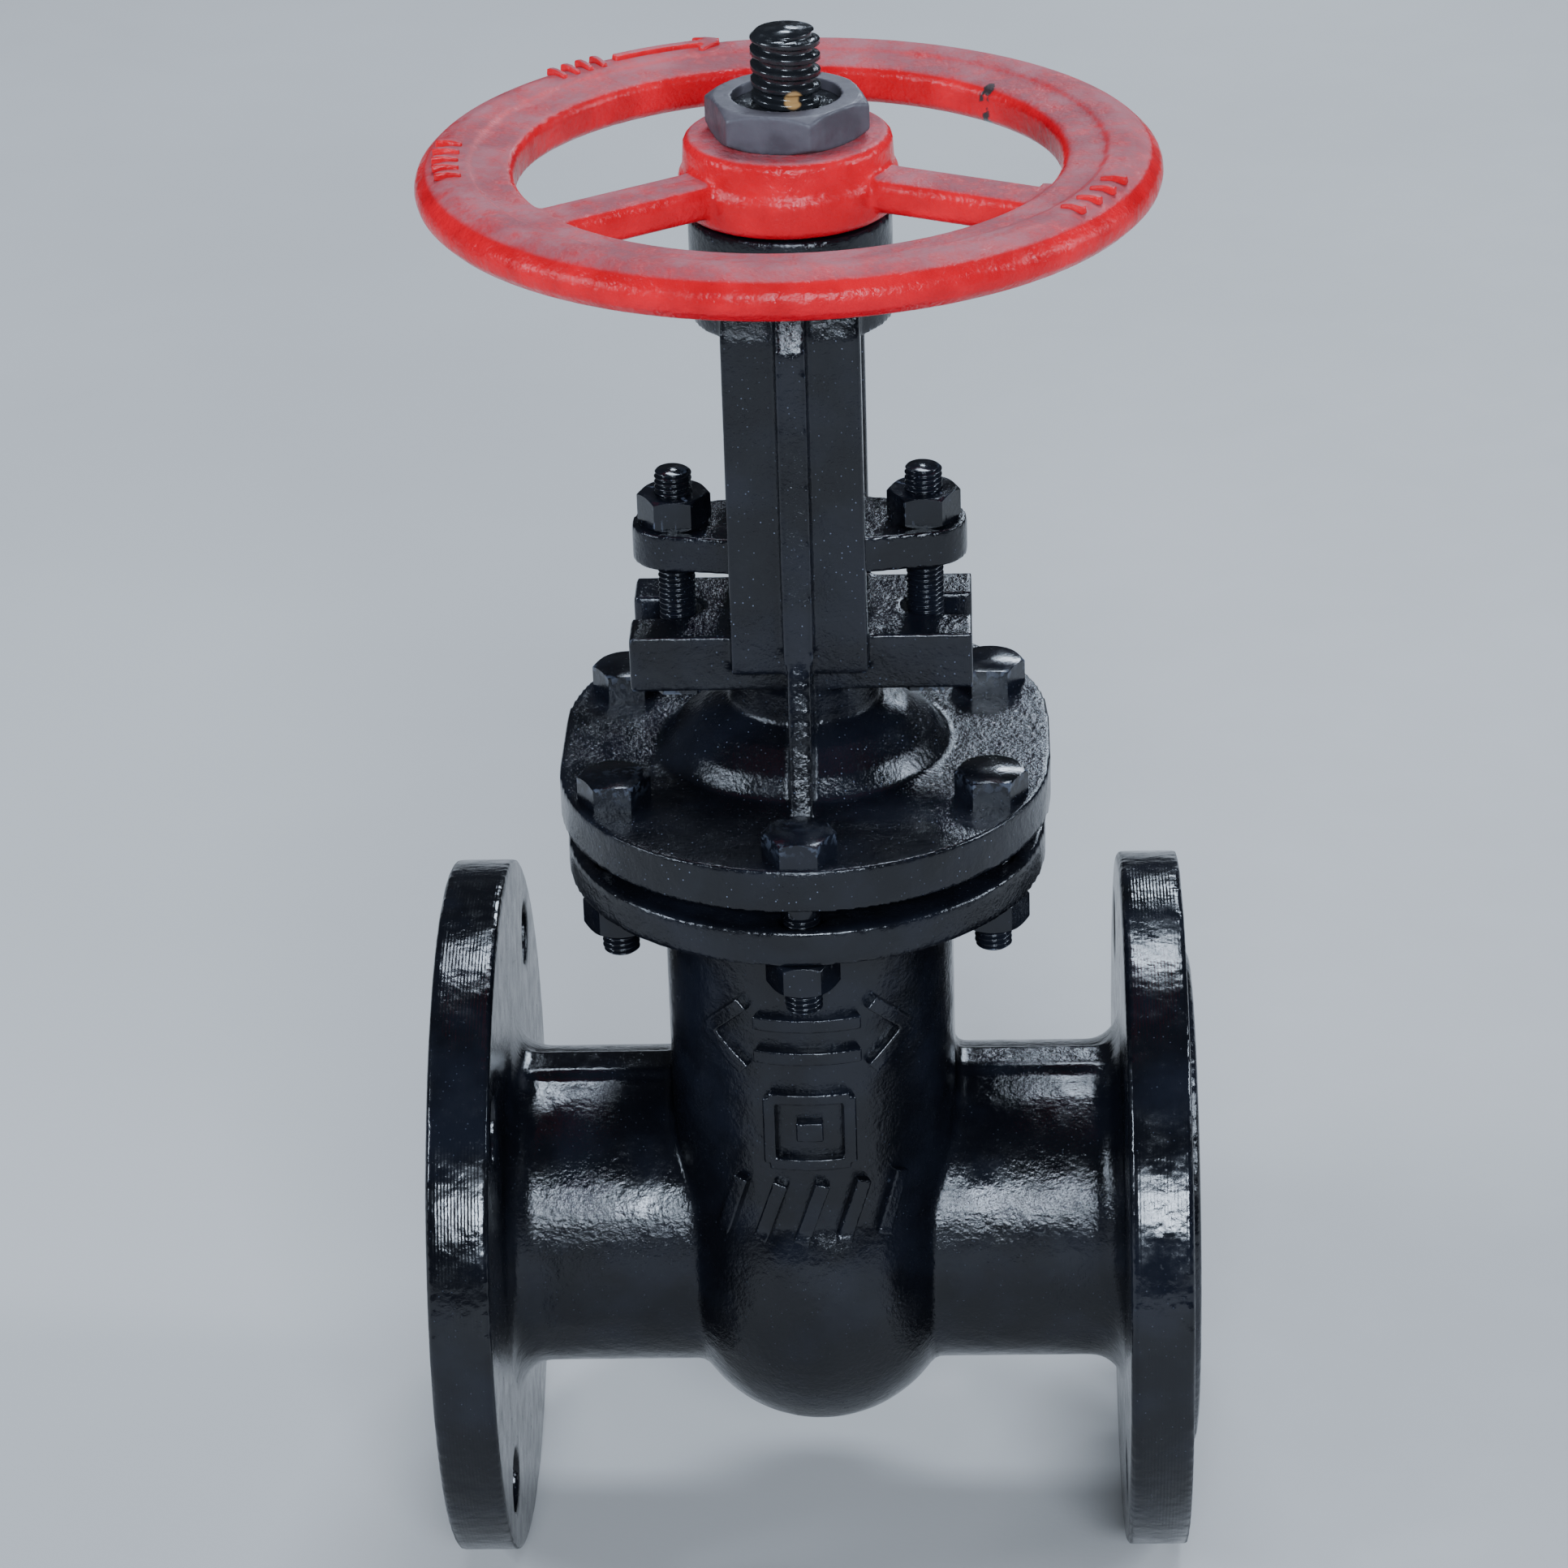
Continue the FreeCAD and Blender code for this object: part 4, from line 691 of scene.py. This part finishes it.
black = wet_black("wet_black_body", machined=True)
black_bonnet = wet_black("wet_black_bonnet", sand=0.28 * MM, glint_strength=0.95)
black_small = wet_black("wet_black_small", lumps=0.08 * MM, sand=0.06 * MM, glint_strength=0.4)
red = dusty_red()
brass = turned_metal("turned_brass", (0.55, 0.36, 0.13), (0.30, 0.18, 0.07), 0.26, lathe="X")
steel = turned_metal("turned_steel", (0.30, 0.30, 0.31), (0.12, 0.12, 0.125), 0.32)

looks = {
    "body": black, "bonnet": black_bonnet, "gland_flange": black_bonnet, "gland_bush": black_small,
    "bonnet_nuts": black_small, "inlet_gland_nut": black_small, "outlet_gland_nut": black_small,
    "inlet_seat_ring": brass, "outlet_seat_ring": brass,
    "wedge_inlet_ring": brass, "wedge_outlet_ring": brass, "wedge_gate": bare_casting(),
    "backseat_bush": brass, "packing_washer": brass,
    "bonnet_gasket": pressed_gasket(), "stem_nut": painted_sleeve(), "thrust_washer": black_small,
    "handwheel_key": steel, "handwheel": red, "handwheel_nut": matt_nut(),
}
for node, material in looks.items():
    give(node, material)

cast_softly(nodes["body"], 1.3 * MM, smoothing=3)
cast_softly(nodes["bonnet"], 0.9 * MM, smoothing=3)
cast_softly(nodes["handwheel"], 0.75 * MM, smoothing=6)
cast_softly(nodes["gland_flange"], 0.7 * MM, smoothing=3)
cast_softly(nodes["handwheel_nut"], 0.5 * MM, smoothing=2)
for node in ("bonnet_nuts", "inlet_gland_nut", "outlet_gland_nut", "stem_nut", "thrust_washer"):
    ease_edges(nodes[node], 0.35 * MM)

stem_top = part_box("stem")[1].z
stem_thread_length = 133 * MM
rethread(
    "stem", "threaded_stem", "stem_and_wedge", "stem", painted_thread(),
    start=stem_top - stem_thread_length, end=stem_top, keep_above=False,
    radius=9 * MM, pitch=4 * MM, depth=2.1 * MM, shape=trapezoid_thread, hand=-1,
)
metric = {"radius": 5 * MM, "pitch": 1.5 * MM, "depth": 0.92 * MM, "shape": v_thread}
gland_bolt_head = 6.4 * MM
gland_bolts_low, gland_bolts_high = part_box("gland_bolts")
rethread(
    "gland_bolts", "threaded_gland_bolts", "valve", "painted_fastener", black_small,
    start=gland_bolts_low.z + gland_bolt_head, end=gland_bolts_high.z, keep_above=False, **metric,
)
rethread(
    "bonnet_bolts", "threaded_bonnet_bolts", "valve", "painted_fastener", black_small,
    start=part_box("bonnet_bolts")[0].z, end=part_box("bonnet_gasket")[0].z, keep_above=True, **metric,
)
press_packing()
make_body_marks(black)
make_wheel_marks(red)


# ---- floor, lights and camera -----------------------------------------------------------------

def make_floor():
    """A wide floor under the flanges, on which the valve stands."""
    bm = bmesh.new()
    bmesh.ops.create_grid(bm, x_segments=1, y_segments=1, size=8.0)
    mesh = bpy.data.meshes.new("floor")
    bm.to_mesh(mesh)
    bm.free()
    floor = bpy.data.objects.new("floor", mesh)
    floor.location = (STEM_X, 0.0, FLOOR_Z)
    mesh.materials.append(pale_floor())
    bpy.context.scene.collection.objects.link(floor)


def add_softbox(name, place, width, height, power, colour):
    """A soft lamp that looks at the middle of the valve."""
    lamp = bpy.data.lights.new(name, "AREA")
    lamp.shape = "RECTANGLE"
    lamp.size = width
    lamp.size_y = height
    lamp.energy = power
    lamp.color = colour
    box = bpy.data.objects.new(name, lamp)
    target = Vector((STEM_X, 0.0, 0.1))
    box.location = target + Vector(place)
    box.rotation_euler = (target - box.location).to_track_quat("-Z", "Y").to_euler()
    bpy.context.scene.collection.objects.link(box)


def make_lights():
    """Soft daylight from all round, strongest from the front, and a dim world. Places are in metres
    from the middle of the valve."""
    daylight = (0.72, 0.84, 1.0)
    add_softbox("front_window", (0.35, -3.2, 1.6), 1.4, 0.6, 185, daylight)
    add_softbox("left_window", (-2.6, -0.9, 1.3), 0.6, 0.9, 75, daylight)
    add_softbox("right_window", (2.6, 0.1, 1.2), 0.5, 0.9, 55, daylight)
    add_softbox("roof_light", (0.2, 1.3, 2.6), 1.2, 0.5, 70, daylight)
    add_softbox("back_light", (0.7, 2.9, 1.5), 0.9, 0.4, 34, daylight)
    world = bpy.data.worlds.new("studio")
    world.use_nodes = True
    backdrop = world.node_tree.nodes["Background"]
    backdrop.inputs["Color"].default_value = (0.58, 0.64, 0.74, 1.0)
    backdrop.inputs["Strength"].default_value = 0.07
    bpy.context.scene.world = world


def make_camera():
    """A long lens a little to the right of the valve, looking down on it and slightly rolled. The
    numbers come from a fit of the view in the photograph; angles are in radians."""
    place = Vector((STEM_X + 0.0471, -1.2625, 0.7552))
    azimuth = -0.0423
    down = 0.4586
    roll = -0.0328
    level = math.cos(down)
    ahead = Vector((math.sin(azimuth) * level, math.cos(azimuth) * level, -math.sin(down)))
    right = ahead.cross(Vector((0, 0, 1))).normalized()
    up = right.cross(ahead)
    across = right * math.cos(roll) + up * math.sin(roll)
    upward = up * math.cos(roll) - right * math.sin(roll)
    turned = Matrix((across, upward, -ahead)).transposed().to_4x4()
    lens = bpy.data.cameras.new("camera")
    lens.sensor_width = 36.0
    lens.lens = 118.84
    lens.clip_start = 0.05
    camera = bpy.data.objects.new("camera", lens)
    camera.matrix_world = Matrix.Translation(place) @ turned
    bpy.context.scene.collection.objects.link(camera)
    bpy.context.scene.camera = camera


make_floor()
make_lights()
make_camera()
